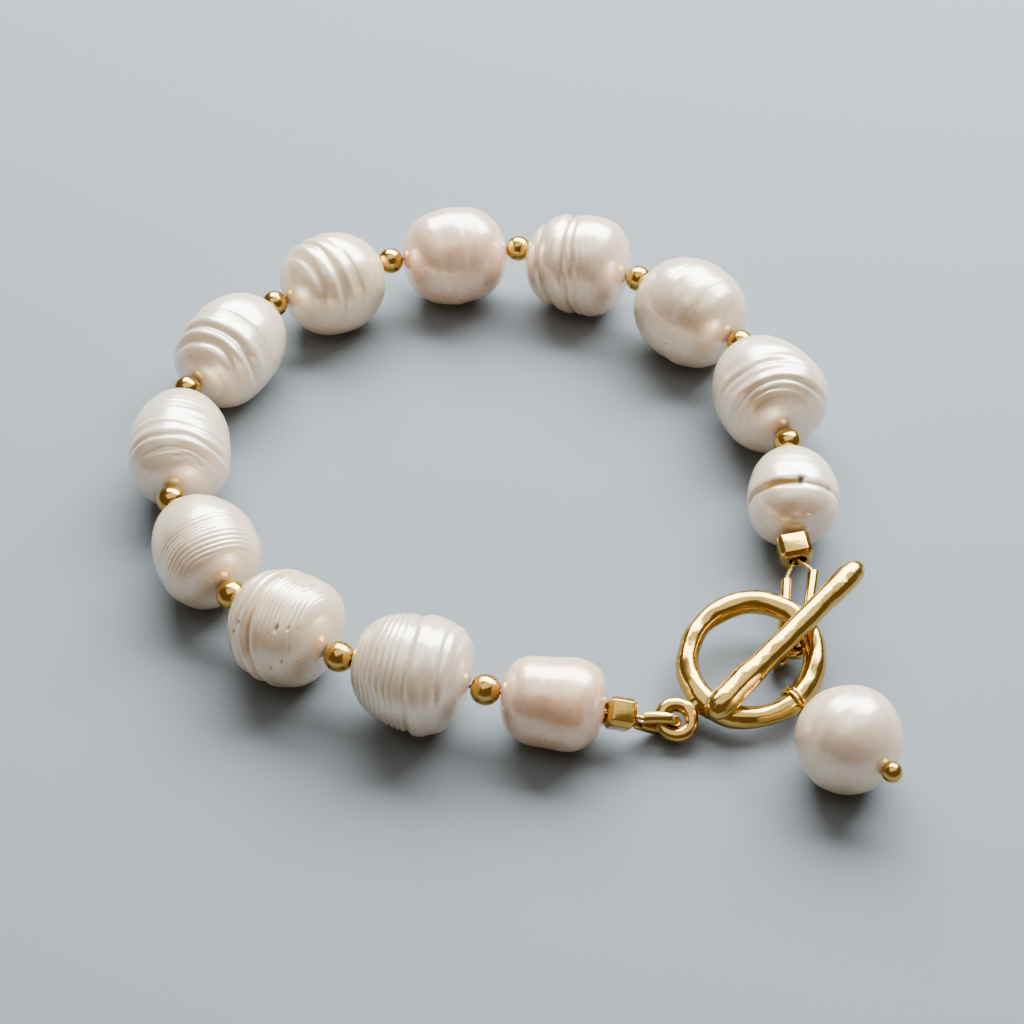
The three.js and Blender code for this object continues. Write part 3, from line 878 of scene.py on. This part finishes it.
class Skin:
    """A pearl's skin before its marks, on the x axis. Each array has one value for each vertex."""

    fade_angle = 32.0
    stain_share = 0.45
    wander = 0.02
    crack_wander = 0.12
    ridge_power = 0.7
    band_ends = 6.0

    def __init__(self, unit: np.ndarray, tilt: Pair, length: float, seed: int) -> None:
        """Works out where each vertex lies.

        Args:
            unit: Each vertex's direction.
            tilt: How far the growth rings turn, sideways and up, in degrees.
            length: The pearl's length along the string, in millimetres.
            seed: Picks its small irregularities.
        """
        self.unit = unit
        self.seed = seed
        self.half = length / 2
        self.place = np.clip(unit[:, 0], -1, 1)
        self.turn = np.degrees(np.arctan2(unit[:, 2], unit[:, 1]))
        aside, rise = (math.tan(math.radians(angle)) for angle in tilt)
        self.level = (unit @ np.array([1, aside, rise])) / math.sqrt(1 + aside**2 + rise**2)
        self.level += self.wander * self.noise(1.6)

    def noise(self, size: float, offset: int = 0) -> np.ndarray:
        """Returns noise on the skin with waves about as long as size, from the seed plus the offset."""
        return Waves(self.seed + offset).at(self.unit, size)

    def off(self, angle: float) -> np.ndarray:
        """Returns how far round the string each vertex is from an angle, from -180 to 180 degrees."""
        return (self.turn - angle + 180) % 360 - 180

    def fade(self, mark: Groove | RingBand) -> np.ndarray:
        """Returns how strong a mark is round the string, from 1 down to 0 at its ends."""
        return np.clip((mark.spread - np.abs(self.off(mark.facing))) / self.fade_angle, 0, 1)

    def groove(self, mark: Groove, offset: int) -> tuple[np.ndarray, np.ndarray]:
        """Works out a groove.

        Args:
            mark: The groove.
            offset: What is added to the seed.

        Returns:
            The depth as a share of the half width, and the stain.
        """
        away = self.level - mark.at + mark.wander * self.noise(0.9, offset)
        fade = self.fade(mark)
        depth = mark.deep * fade * np.exp(-((away / mark.wide) ** 2))
        return depth, mark.stain * fade * np.exp(-((away / (self.stain_share * mark.wide)) ** 2))

    def band(self, mark: RingBand, offset: int) -> tuple[np.ndarray, np.ndarray]:
        """Works out a stretch of close rings.

        Args:
            mark: The stretch.
            offset: What is added to the seed.

        Returns:
            The depth as a share of the half width, and the stain.
        """
        share = (self.level + mark.wander * self.noise(0.7, offset) - mark.start) / (mark.end - mark.start)
        count = mark.count * share + 0.35 * self.noise(2.4, offset)
        furrow = 1 - np.abs(np.sin(np.pi * count)) ** self.ridge_power
        window = np.clip(share * self.band_ends, 0, 1) * np.clip((1 - share) * self.band_ends, 0, 1)
        window *= self.fade(mark)
        depth = mark.deep * furrow * window * np.clip(0.75 + 0.35 * self.noise(0.8, offset), 0.25, 1.3)
        dirt = mark.stain * furrow**2.0 * window * np.clip(0.6 + 0.5 * self.noise(0.5, offset), 0, 1)
        return depth, dirt

    def crack(self, mark: Crack, offset: int) -> tuple[np.ndarray, np.ndarray]:
        """Works out a crack that tapers to its two ends.

        Args:
            mark: The crack.
            offset: What is added to the seed.

        Returns:
            The depth in millimetres, and the stain.
        """
        share = self.off((mark.start + mark.end) / 2) / ((mark.end - mark.start) / 2)
        taper = np.clip(1 - share**2, 0, 1) ** 0.4
        away = (self.level - mark.at) * self.half + self.crack_wander * self.noise(0.6, offset)
        depth = mark.deep * np.exp(-((away / mark.wide) ** 2)) * taper
        return depth, mark.stain * np.exp(-((away / (1.6 * mark.wide)) ** 2)) * taper

    def spot(self, mark: Pit | Blush, radius: np.ndarray) -> np.ndarray:
        """Returns how strong a round spot is, from 1 in its middle down to 0, on a skin of this radius."""
        away = np.hypot((self.place - mark.at) * self.half, np.radians(self.off(mark.turn)) * radius)
        return np.exp(-((away / mark.radius) ** 2))


@dataclass
class PearlStrand:
    """The twelve pearls, each between two stops of the string."""

    clearance: float = 0.03
    crimp_clearance: float = 0.05
    crimp_side: float = 2.6
    spacer: float = 2.8
    bore: float = 0.7
    bore_depth: float = 0.5
    around: int = 128
    rows: int = 176
    first_seed: int = 100

    def stops(self) -> list[str]:
        """Returns the nodes that the string bends at, in order."""
        return ["crimp_ring_side", *[f"spacer_{i:02d}" for i in range(1, 12)], "crimp_bar_side"]

    def _reach(self, node: str) -> float:
        """Returns how far a stop reaches along the string."""
        return self.crimp_side / 2 + self.crimp_clearance if node.startswith("crimp") else self.spacer / 2

    def build(self, finishes: dict[NacreTone, Material]) -> None:
        """Models every pearl and dresses it.

        Args:
            finishes: The material for each tone.
        """
        stops = self.stops()
        for index, (shape, first, second) in enumerate(zip(PEARLS, stops, stops[1:])):
            start, end = node_middle(first), node_middle(second)
            along = end - start
            length = along.length - self._reach(first) - self._reach(second) - 2 * self.clearance
            middle = start + along.normalized() * (self._reach(first) + self.clearance + length / 2)
            mesh = self._skin(shape, length, self.first_seed + index)
            lean_axis = Matrix.Rotation(math.radians(shape.roll), 4, "X") @ UP
            lean = Matrix.Rotation(math.radians(shape.lean), 4, lean_axis)
            mesh.transform(lean)
            drill(mesh, self.bore, self.bore_depth)
            mesh.transform(Matrix.Translation(middle) @ turn_to(along))
            points = mesh_points(mesh)
            off_middle = (points - np.array(middle)) @ np.array(along.normalized()) / (length / 2)
            points[:, :2] += np.clip(1 - off_middle**2, 0, 1)[:, None] * np.array(shape.bulge)
            points[:, 2] += FLOOR_GAP - points[:, 2].min()
            set_points(mesh, points)
            add_piece(f"{shape.name}_nacre", mesh, shape.name, finishes[shape.tone])

    def _skin(self, shape: PearlShape, length: float, seed: int) -> Mesh:
        """Models one pearl along the x axis, with its marks.

        Args:
            shape: The pearl's description.
            length: Its length along the string, in millimetres.
            seed: Picks its small irregularities.

        Returns:
            The pearl's mesh, with its ring and stain attributes and a mask of painted shade for the bottoms
            of its pits.
        """
        mesh = unit_ball(shape.name, self.around, self.rows)
        skin = Skin(mesh_points(mesh), shape.tilt, length, seed)
        marks = [skin.groove(mark, 31 * number) for number, mark in enumerate(shape.grooves)]
        marks += [skin.band(mark, 57 * number) for number, mark in enumerate(shape.bands)]
        cut, stain = (sum(values) for values in zip(*marks))
        full = np.maximum(0, 1 - np.abs(skin.place) ** shape.blunt) ** (1 / shape.blunt)
        radius = full * (1 + shape.egg * skin.place) * (1 - cut) * shape.width / 2
        radius *= 1 + shape.lumps * skin.noise(1.3) * full
        # The next mask is painted shade: how dark the bottom of each pit is painted.
        pit = np.zeros(len(radius))
        for mark in shape.pits:
            dent = skin.spot(mark, radius)
            radius -= mark.deep * dent
            pit += mark.painted_shade * dent
        for number, mark in enumerate(shape.cracks):
            depth, dirt = skin.crack(mark, 91 * number)
            radius -= depth
            stain += dirt
        mottle = np.clip(0.7 + 0.3 * skin.noise(0.35), 0, 1)
        for mark in shape.blushes:
            stain += mark.stain * skin.spot(mark, radius) * mottle
        angle = np.radians(skin.turn)
        points = np.column_stack((skin.place * skin.half, radius * np.cos(angle), radius * np.sin(angle)))
        set_points(mesh, points)
        set_attribute(mesh, "ring", skin.level * skin.half)
        set_attribute(mesh, "stain", np.clip(stain, 0, 0.9))
        set_attribute(mesh, "pit", np.clip(pit, 0, 0.95))
        return mesh


@dataclass
class PearlDrop:
    """The round pearl that hangs from the ring on a headpin."""

    diameter: float = 9.4
    length: float = 8.8
    axis: Triple = (0.575, -0.8, 0.17)
    bore: float = 0.8
    bore_depth: float = 0.6
    around: int = 128
    rows: int = 128
    rings: float = 16.0
    ring_height: float = 0.004
    lumps: float = 0.012
    seed: int = 77

    def build(self, finish: Material) -> None:
        """Models the pearl and dresses it.

        Args:
            finish: The pearl's material.
        """
        mesh = unit_ball("drop_pearl", self.around, self.rows)
        unit = mesh_points(mesh)
        noise = Waves(self.seed)
        ring = unit[:, 0] + 0.03 * noise.at(unit, 1.4)
        faint = self.ring_height * np.sin(ring * self.rings) * np.clip(1.2 - 2 * np.abs(ring), 0, 1)
        swell = 1 + self.lumps * noise.at(unit, 1.5) + faint
        points = unit * swell[:, None] * np.array([self.length, self.diameter, self.diameter]) / 2
        set_points(mesh, points)
        drill(mesh, self.bore, self.bore_depth)
        set_attribute(mesh, "ring", ring * self.length / 2)
        # The drop has no stain and no painted shade in pits.
        for name in ("stain", "pit"):
            set_attribute(mesh, name, np.zeros(len(ring)))
        mesh.transform(Matrix.Translation(node_middle("drop_pearl")) @ turn_to(Vector(self.axis)))
        lowest = mesh_points(mesh)[:, 2].min()
        mesh.transform(Matrix.Translation((0, 0, FLOOR_GAP - lowest)))
        add_piece("drop_pearl_nacre", mesh, "drop_pearl", finish)


@dataclass
class Spacers:
    """The round gold beads between the pearls."""

    diameter: float = 2.8
    bore: float = 1.2
    wall: float = 0.05
    segments: int = 48
    rows: int = 24

    def build(self, strand: PearlStrand, finish: Material) -> None:
        """Models every spacer and dresses it.

        Args:
            strand: The strand, which knows the order of the string's stops.
            finish: The spacers' material.
        """
        stops = strand.stops()
        for before, node, after in zip(stops, stops[1:], stops[2:]):
            into = (node_middle(node) - node_middle(before)).normalized()
            out = (node_middle(after) - node_middle(node)).normalized()
            mesh = self._bead()
            mesh.transform(Matrix.Translation(node_middle(node)) @ turn_to(into + out))
            add_piece(f"{node}_bead", mesh, node, finish)

    def _bead(self) -> Mesh:
        """Models one bead along the x axis by turning half its outline.

        Returns:
            The bead's mesh.
        """
        bead = bmesh.new()
        radius = self.diameter / 2
        mouth = math.asin(self.bore / self.diameter)
        outline = []
        for i in range(self.rows + 1):
            angle = mouth + (math.pi - 2 * mouth) * i / self.rows
            outline.append(bead.verts.new((-radius * math.cos(angle), radius * math.sin(angle), 0)))
        lip = radius * math.cos(mouth) * 0.9
        inner = [bead.verts.new((side, self.bore / 2 - self.wall, 0)) for side in (lip, -lip)]
        loop = [*outline, *inner]
        edges = [bead.edges.new(pair) for pair in zip(loop, [*loop[1:], loop[0]])]
        bmesh.ops.spin(
            bead, geom=[*loop, *edges], cent=(0, 0, 0), axis=(1, 0, 0), dvec=(0, 0, 0), angle=2 * math.pi,
            steps=self.segments, use_merge=True,
        )
        bmesh.ops.remove_doubles(bead, verts=bead.verts, dist=1e-5)
        bmesh.ops.recalc_face_normals(bead, faces=bead.faces)
        return to_mesh(bead, "spacer")


@dataclass(frozen=True)
class RingPlace:
    """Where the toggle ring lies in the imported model, in millimetres and degrees."""

    centre: Triple = (23.78, -22.756, 2.83)
    pitch: float = 10.0
    turn: float = -38.0
    width: float = 13.0
    depth: float = 14.5
    rim: float = 2.0
    thickness: float = 1.7
    crown_from: float = 0.6
    crown_reach: float = 1.3
    crown_rise: float = 0.35

    def lay(self) -> Matrix:
        """Returns the turn from the ring's own plane to the way that it lies."""
        turn = Matrix.Rotation(math.radians(self.turn), 3, "Z")
        return Matrix.Rotation(math.radians(self.pitch), 3, "X") @ turn

    def at(self, angle: float, outward: float = 0.0) -> Vector:
        """Returns a point of the ring's plane.

        Args:
            angle: The direction from the ring's middle, in degrees.
            outward: How far it is from the middle of the rim.

        Returns:
            The point, in millimetres.
        """
        way = math.radians(angle - self.turn)
        across, deep = (self.width - self.rim) / 2 + outward, (self.depth - self.rim) / 2 + outward
        return Vector(self.centre) + self.lay() @ Vector((across * math.cos(way), deep * math.sin(way), 0))

    def crown(self, points: np.ndarray, height: float) -> np.ndarray:
        """Rounds the top of the rim, so that it is highest along its middle.

        Args:
            points: The ring's points, one in each row.
            height: How far the rim's edges drop below its middle.

        Returns:
            How far each point moves up, in the ring's own direction.
        """
        local = (points - np.array(self.centre)) @ np.array(self.lay())
        across, deep = (self.width - self.rim) / 2, (self.depth - self.rim) / 2
        share = np.hypot(local[:, 0] / across, local[:, 1] / deep)
        aside = (share - 1) * (across + deep) / self.rim
        top = np.clip(local[:, 2] / (self.crown_from * self.thickness / 2), 0, 1)
        return top * (np.abs(aside) < self.crown_reach) * height * (self.crown_rise - aside**2)


@dataclass(frozen=True)
class Swell:
    """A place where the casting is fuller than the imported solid, in millimetres."""

    centre: Triple
    reach: float
    amount: float


@dataclass(frozen=True)
class Casting:
    """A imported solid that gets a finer, softer and hand-worked skin. Sizes are in millimetres.

    voxel is the size of its new faces and smoothing how often they are softened, regrow makes up for that,
    and dents are how long and how deep the dents are.
    """

    node: str
    smoothing: int
    dents: tuple[Pair, ...]
    seed: int
    swell: Swell
    voxel: float = 0.085
    regrow: float = 0.05

    def worked(self) -> Mesh:
        """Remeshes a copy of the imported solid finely, softens it and works its skin.

        Returns:
            The new mesh, in millimetres.
        """
        name = f"{self.node}_block"
        block = bpy.data.objects.new(name, to_mesh(packed_copy(self.node), name))
        bpy.context.scene.collection.objects.link(block)
        remesh = block.modifiers.new("fine", "REMESH")
        remesh.mode = "VOXEL"
        remesh.voxel_size = self.voxel
        remesh.use_smooth_shade = True
        soften = block.modifiers.new("soften", "SMOOTH")
        soften.factor = 0.5
        soften.iterations = self.smoothing
        graph = bpy.context.evaluated_depsgraph_get()
        mesh = bpy.data.meshes.new_from_object(block.evaluated_get(graph))
        bpy.data.objects.remove(block)
        points = mesh_points(mesh)
        push = np.full(len(points), self.regrow)
        for number, (size, depth) in enumerate(self.dents):
            push += depth * Waves(self.seed + number).at(points, size)
        away = np.linalg.norm(points - np.array(self.swell.centre), axis=1) / self.swell.reach
        push += self.swell.amount * np.clip(3 * (1 - away), 0, 1)
        set_points(mesh, points + mesh_normals(mesh) * push[:, None])
        return mesh


@dataclass
class CastPieces:
    """The toggle's ring and bar."""

    crown: float = 0.24
    ring: Casting = Casting(
        "toggle_ring", 26, ((3.6, 0.05), (1.8, 0.01)), 5, Swell((16.66, -28.83, 1.76), 3.0, 0.17)
    )
    bar: Casting = Casting(
        "toggle_bar", 14, ((3.8, 0.05), (1.9, 0.01)), 9, Swell((19.66, -28.69, 4.00), 6.0, 0.16)
    )

    def build(self, place: RingPlace, hammered: Material) -> None:
        """Models the cast pieces and dresses them.

        Args:
            place: Where the toggle ring lies.
            hammered: The material of the ring and the bar.
        """
        ring = self.ring.worked()
        points = mesh_points(ring)
        up = np.array(place.lay() @ UP)
        set_points(ring, points + place.crown(points, self.crown)[:, None] * up)
        add_piece("toggle_ring_cast", ring, "toggle_ring", hammered)
        add_piece("toggle_bar_cast", self.bar.worked(), "toggle_bar", hammered)


@dataclass
class HeadPin:
    """The drop's pin, with its ball below and its loop round the ring's rim. Sizes are in millimetres."""

    wire: float = 0.44
    ball: float = 1.8
    angle: float = -50.0
    turns: float = 1.4
    pitch: float = 0.47
    gap: float = 0.05
    ball_out: float = 0.62
    turn_steps: int = 16
    sides: int = 14

    def build(self, place: RingPlace, drop: PearlDrop, finish: Material) -> None:
        """Models the pin and dresses it.

        Args:
            place: Where the toggle ring lies.
            drop: The pearl on the pin.
            finish: The pin's material.
        """
        centre, axis = node_middle("drop_pearl"), Vector(drop.axis).normalized()
        below = centre + axis * (drop.length / 2 + self.ball_out)
        above = centre - axis * (drop.length + self.wire) / 2
        rim = place.at(self.angle)
        outward = (place.at(self.angle, 1.0) - rim).normalized()
        along = UP.cross(outward).normalized()
        over = outward.cross(along)
        out = place.rim / 2 + self.gap + self.wire / 2
        high = place.thickness / 2 + self.gap + self.wire / 2
        loop = []
        for i in range(round(self.turns * self.turn_steps) + 1):
            angle = math.pi / 4 + 2 * math.pi * i / self.turn_steps
            aside = self.pitch * (i / self.turn_steps - self.turns / 2)
            loop.append(rim + outward * out * math.cos(angle) + over * high * math.sin(angle) + along * aside)
        shape = bmesh.new()
        section = round_section(shape, self.wire / 2, self.sides)
        line = [below, centre, centre.lerp(above, 0.6), above, above.lerp(loop[0], 0.6), *loop]
        sweep(shape, section, smooth_line(line, 4))
        old = set(shape.verts)
        bmesh.ops.create_uvsphere(shape, u_segments=32, v_segments=20, radius=self.ball / 2)
        bead = [vert for vert in shape.verts if vert not in old]
        bmesh.ops.transform(shape, matrix=Matrix.Translation(below) @ turn_to(axis), verts=bead)
        add_piece("drop_pin_wire", to_mesh(shape, "drop_pin"), "drop_pin", finish)


@dataclass(frozen=True)
class CrimpFit:
    """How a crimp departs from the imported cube: its turn, in degrees, and its growth each way."""

    node: str
    turn: float = 0.0
    growth: Triple = (1.0, 1.0, 1.0)


@dataclass
class Crimps:
    """The two cubes with cut corners that close the string."""

    rounding: float = 0.12
    fits: tuple[CrimpFit, ...] = (
        CrimpFit("crimp_ring_side"),
        CrimpFit("crimp_bar_side", 13.0, (1.2, 1.06, 1.05)),
    )

    def build(self, finish: Material) -> None:
        """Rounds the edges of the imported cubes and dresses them.

        Args:
            finish: The cubes' material.
        """
        for fit in self.fits:
            cube = packed_copy(fit.node)
            bmesh.ops.dissolve_limit(cube, angle_limit=math.radians(2), verts=cube.verts, edges=cube.edges)
            sharp = [edge for edge in cube.edges if edge.calc_face_angle(0) > math.radians(25)]
            bmesh.ops.bevel(
                cube, geom=sharp, offset=self.rounding, segments=3, profile=0.5, affect="EDGES", material=-1,
                clamp_overlap=True,
            )
            bmesh.ops.triangulate(cube, faces=cube.faces)
            middle = node_middle(fit.node)
            grow = Matrix.Diagonal((*fit.growth, 1.0))
            turn = Matrix.Rotation(math.radians(fit.turn), 4, "Z")
            about = Matrix.Translation(middle) @ turn @ grow @ Matrix.Translation(-middle)
            bmesh.ops.transform(cube, matrix=about, verts=cube.verts)
            mesh = to_mesh(cube, fit.node)
            mesh.set_sharp_from_angle(angle=math.radians(30))
            add_piece(f"{fit.node}_cube", mesh, fit.node, finish)


@dataclass
class WireGuard:
    """A horseshoe of split tube in which the wire turns round an eye. Sizes are in millimetres.

    The first leg is the upper or the right one. reach moves the bend along the guard, near moves it towards
    the front, and lean moves the mouth sideways. slit is how wide the tube is open, in degrees.
    """

    node: str
    crimp: str
    legs: Pair
    mouth: float
    reach: float = 0.0
    near: float = 0.0
    lean: float = 0.0
    bend: float = 1.05
    tube: float = 1.05
    wall: float = 0.14
    slit: float = 80.0
    slant: float = 0.35
    leg_steps: Triple = (0.33, 0.66, 1)
    bend_steps: int = 8

    def route(self) -> list[Vector]:
        """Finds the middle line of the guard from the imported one.

        Returns:
            Points from one mouth round the bend to the other mouth.
        """
        points = mesh_points(bpy.data.objects[self.node].data) / MM
        middle = points.mean(axis=0)
        _, _, axes = np.linalg.svd(points - middle, full_matrices=False)
        towards_mouth = np.array(node_middle(self.crimp)) - middle
        x = axes[0] if axes[0] @ towards_mouth < 0 else -axes[0]
        y = axes[1] if axes[1] @ np.array([1, 0, 2]) > 0 else -axes[1]
        end = ((points - middle) @ x).max()
        hook = middle + x * (end - self.bend - self.tube / 2 + self.reach) - np.array([0, self.near, 0])
        local = [self._on_leg(self.legs[0], share, 1) for share in reversed(self.leg_steps)]
        for i in range(self.bend_steps + 1):
            angle = math.pi / 2 - math.pi * i / self.bend_steps
            local.append((self.bend * math.cos(angle), self.bend * math.sin(angle)))
        local += [self._on_leg(self.legs[1], share, -1) for share in self.leg_steps]
        return [Vector(hook + x * along + y * aside) for along, aside in local]

    def _on_leg(self, length: float, share: float, side: int) -> Pair:
        """Returns a point at a share of a leg's length, along the guard and to its side."""
        spread = self.bend + (self.mouth / 2 - self.bend) * share * share
        return -length * share, side * spread + self.lean * share

    def build(self, finish: Material) -> None:
        """Models the split tube and dresses it.

        Args:
            finish: The guard's material.
        """
        shape = bmesh.new()
        opening = math.radians(self.slit)
        angles = [opening / 2 + (2 * math.pi - opening) * i / 20 for i in range(21)]
        section = []
        for radius, way in ((self.tube / 2, angles), (self.tube / 2 - self.wall, angles[::-1])):
            for a in way:
                out, over = radius * math.cos(a), radius * math.sin(a)
                section.append(shape.verts.new((out, over, self.slant * out)))
        sweep(shape, section, smooth_line(self.route(), 4))
        mesh = to_mesh(shape, self.node)
        mesh.set_sharp_from_angle(angle=math.radians(50))
        add_piece(f"{self.node}_tube", mesh, self.node, finish)


@dataclass
class BeadingWire:
    """The stranded wire on which everything is strung, with its loop through each guard.

    inside and outside say how far the loop's ends lie apart in the crimp and where they leave it.
    """

    diameter: float = 0.45
    strands: int = 7
    twist: float = 2.4
    lobe: float = 0.12
    inside: float = 0.4
    outside: float = 0.55
    crimp_side: float = 2.6

    def build(self, strand: PearlStrand, guards: tuple[WireGuard, ...], finish: Material) -> None:
        """Models the wire and dresses it.

        Args:
            strand: The strand, which knows the order of the string's stops.
            guards: The two guards, ring side first.
            finish: The wire's material.
        """
        shape = bmesh.new()
        stops = [node_middle(node) for node in strand.stops()]
        line = [stops[0]]
        for start, end in zip(stops, stops[1:]):
            line += [start.lerp(end, 0.5), end]
        self._strand(shape, smooth_line(line, 5), sides=2)
        for guard, inner in zip(guards, (stops[1], stops[-2])):
            route = guard.route()
            end = node_middle(guard.crimp)
            mouth = route[0].lerp(route[-1], 0.5)
            axis = ((mouth - end).normalized() + (end - inner).normalized()).normalized()
            across = (route[0] - route[-1]).normalized()
            face = end + axis * self.crimp_side / 2
            spread = across * self.diameter
            inside, outside = spread * self.inside, spread * self.outside
            loop = [end + inside, face + outside, *route, face - outside, end - inside]
            self._strand(shape, smooth_line(loop, 6), sides=4)
        mesh = to_mesh(shape, "beading_wire")
        add_piece("beading_wire_strands", mesh, "beading_wire", finish)

    def _strand(self, shape: BMesh, line: list[Vector], sides: int) -> None:
        """Sweeps a lobed section along a line and twists it.

        Args:
            shape: The bmesh that the wire goes into.
            line: The points that it runs through.
            sides: How many corners each strand's lobe has.
        """
        section = round_section(shape, self.diameter / 2, self.strands * sides, self.strands, self.lobe)
        sweep(shape, section, line, self.twist)


@dataclass(frozen=True)
class SoftLight:
    """A soft light that looks at the bracelet. Its place and its size are in metres, its power in watts."""

    name: str
    place: Triple
    size: Pair
    power: float
    color: Triple

    def build(self) -> None:
        """Hangs the light."""
        data = bpy.data.lights.new(self.name, "AREA")
        data.shape = "RECTANGLE"
        data.size, data.size_y = self.size
        data.energy = self.power
        data.color = self.color
        light = bpy.data.objects.new(self.name, data)
        light.location = self.place
        light.rotation_euler = (-Vector(self.place)).to_track_quat("-Z", "Y").to_euler()
        bpy.context.scene.collection.objects.link(light)


@dataclass
class Studio:
    """A plain pale floor and plain soft light, strongest from behind. Sizes are in metres."""

    lights: tuple[SoftLight, ...] = (
        SoftLight("window", (0.08, 0.28, 0.31), (0.60, 0.30), 15.0, (0.87, 0.955, 1.0)),
        SoftLight("ceiling", (0.02, -0.05, 0.45), (0.6, 0.34), 1.0, (0.96, 0.98, 1.0)),
    )
    floor_size: float = 3.0
    floor_color: Color = (0.162, 0.174, 0.182, 1)
    ambient: Color = (0.18, 0.134, 0.097, 1)
    haze: Color = (0.6, 0.64, 0.67, 1)
    haze_from: float = 0.16
    haze_full: float = 0.6

    def build(self) -> None:
        """Makes the floor, the lights and the world."""
        self._floor()
        for light in self.lights:
            light.build()
        world = bpy.data.worlds.new("studio")
        world.use_nodes = True
        desk = Desk(world.node_tree)
        seen = desk.add("LightPath").outputs["Is Camera Ray"]
        color = desk.blend(seen, self.ambient, self.haze)
        desk.feed(world.node_tree.nodes["Background"], Color=color, Strength=1.0)
        bpy.context.scene.world = world

    def _floor(self) -> None:
        """Makes the floor, which turns into the same haze as the background well beyond the bracelet."""
        shape = bmesh.new()
        bmesh.ops.create_grid(shape, x_segments=1, y_segments=1, size=self.floor_size / 2)
        mesh = to_mesh(shape, "floor")
        material, desk, shader = start_material("pale_floor")
        desk.feed(shader, Base_Color=self.floor_color, Roughness=0.75, Specular_IOR_Level=0.25)
        from_middle = desk.add("VectorMath", operation="LENGTH")
        desk.put(from_middle.inputs[0], desk.own_place())
        far = desk.between(from_middle.outputs["Value"], self.haze_from, self.haze_full, 0.0, 1.0)
        seen = desk.math("MULTIPLY", far, desk.add("LightPath").outputs["Is Camera Ray"])
        fade = desk.add("MixShader")
        glow = desk.feed(desk.add("Emission"), Color=self.haze)
        for socket, value in zip(fade.inputs, (seen, shader.outputs["BSDF"], glow.outputs["Emission"])):
            desk.put(socket, value)
        desk.feed(desk.tree.nodes["Material Output"], Surface=fade.outputs[0])
        mesh.materials.append(material)
        floor = bpy.data.objects.new("floor", mesh)
        bpy.context.scene.collection.objects.link(floor)


NACRE = (
    NacreFinish(NacreTone.ROSE, (0.88, 0.51, 0.28, 1), (0.87, 0.60, 0.39, 1), (0.60, 0.30, 0.12, 1)),
    NacreFinish(NacreTone.IVORY, (0.87, 0.67, 0.44, 1), (0.86, 0.62, 0.43, 1), (0.55, 0.34, 0.13, 1)),
    NacreFinish(NacreTone.CREAM, (0.87, 0.67, 0.39, 1), (0.86, 0.65, 0.44, 1), (0.50, 0.31, 0.09, 1)),
    NacreFinish(NacreTone.WHITE, (0.88, 0.72, 0.52, 1), (0.86, 0.66, 0.48, 1), (0.52, 0.31, 0.09, 1)),
)
HAMMERED = MetalFinish("hammered_gold", roughness=0.17, dent_size=0.0026, dent_depth=0.00006)
POLISHED = MetalFinish("polished_gold", roughness=0.18, dent_size=0.0011, dent_depth=0.00003)
DRAWN = MetalFinish("drawn_gold", roughness=0.28, dent_depth=0.00001)
GUARDS = (
    WireGuard(
        "wire_guard_ring_side", "crimp_ring_side", (2.1, 2.1), 1.25, reach=0.45, near=0.35, bend=1.12,
        tube=1.1,
    ),
    WireGuard("wire_guard_bar_side", "crimp_bar_side", (7.9, 7.0), 2.5, lean=0.55),
)


def main() -> None:
    """Builds the whole scene in order."""
    logging.basicConfig(level=logging.INFO, format="%(name)s: %(message)s")
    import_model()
    Viewpoint().build()
    Studio().build()
    groups = SharedGroups()
    nacre = {finish.tone: finish.build(groups) for finish in NACRE}
    hammered, polished, drawn = (finish.build(groups) for finish in (HAMMERED, POLISHED, DRAWN))
    strand = PearlStrand()
    BeadingWire().build(strand, GUARDS, drawn)
    for guard in GUARDS:
        guard.build(polished)
    place = RingPlace()
    CastPieces().build(place, hammered)
    Crimps().build(polished)
    drop = PearlDrop()
    drop.build(nacre[NacreTone.IVORY])
    HeadPin().build(place, drop, polished)
    Spacers().build(strand, polished)
    strand.build(nacre)


if __name__ == "__main__":
    main()
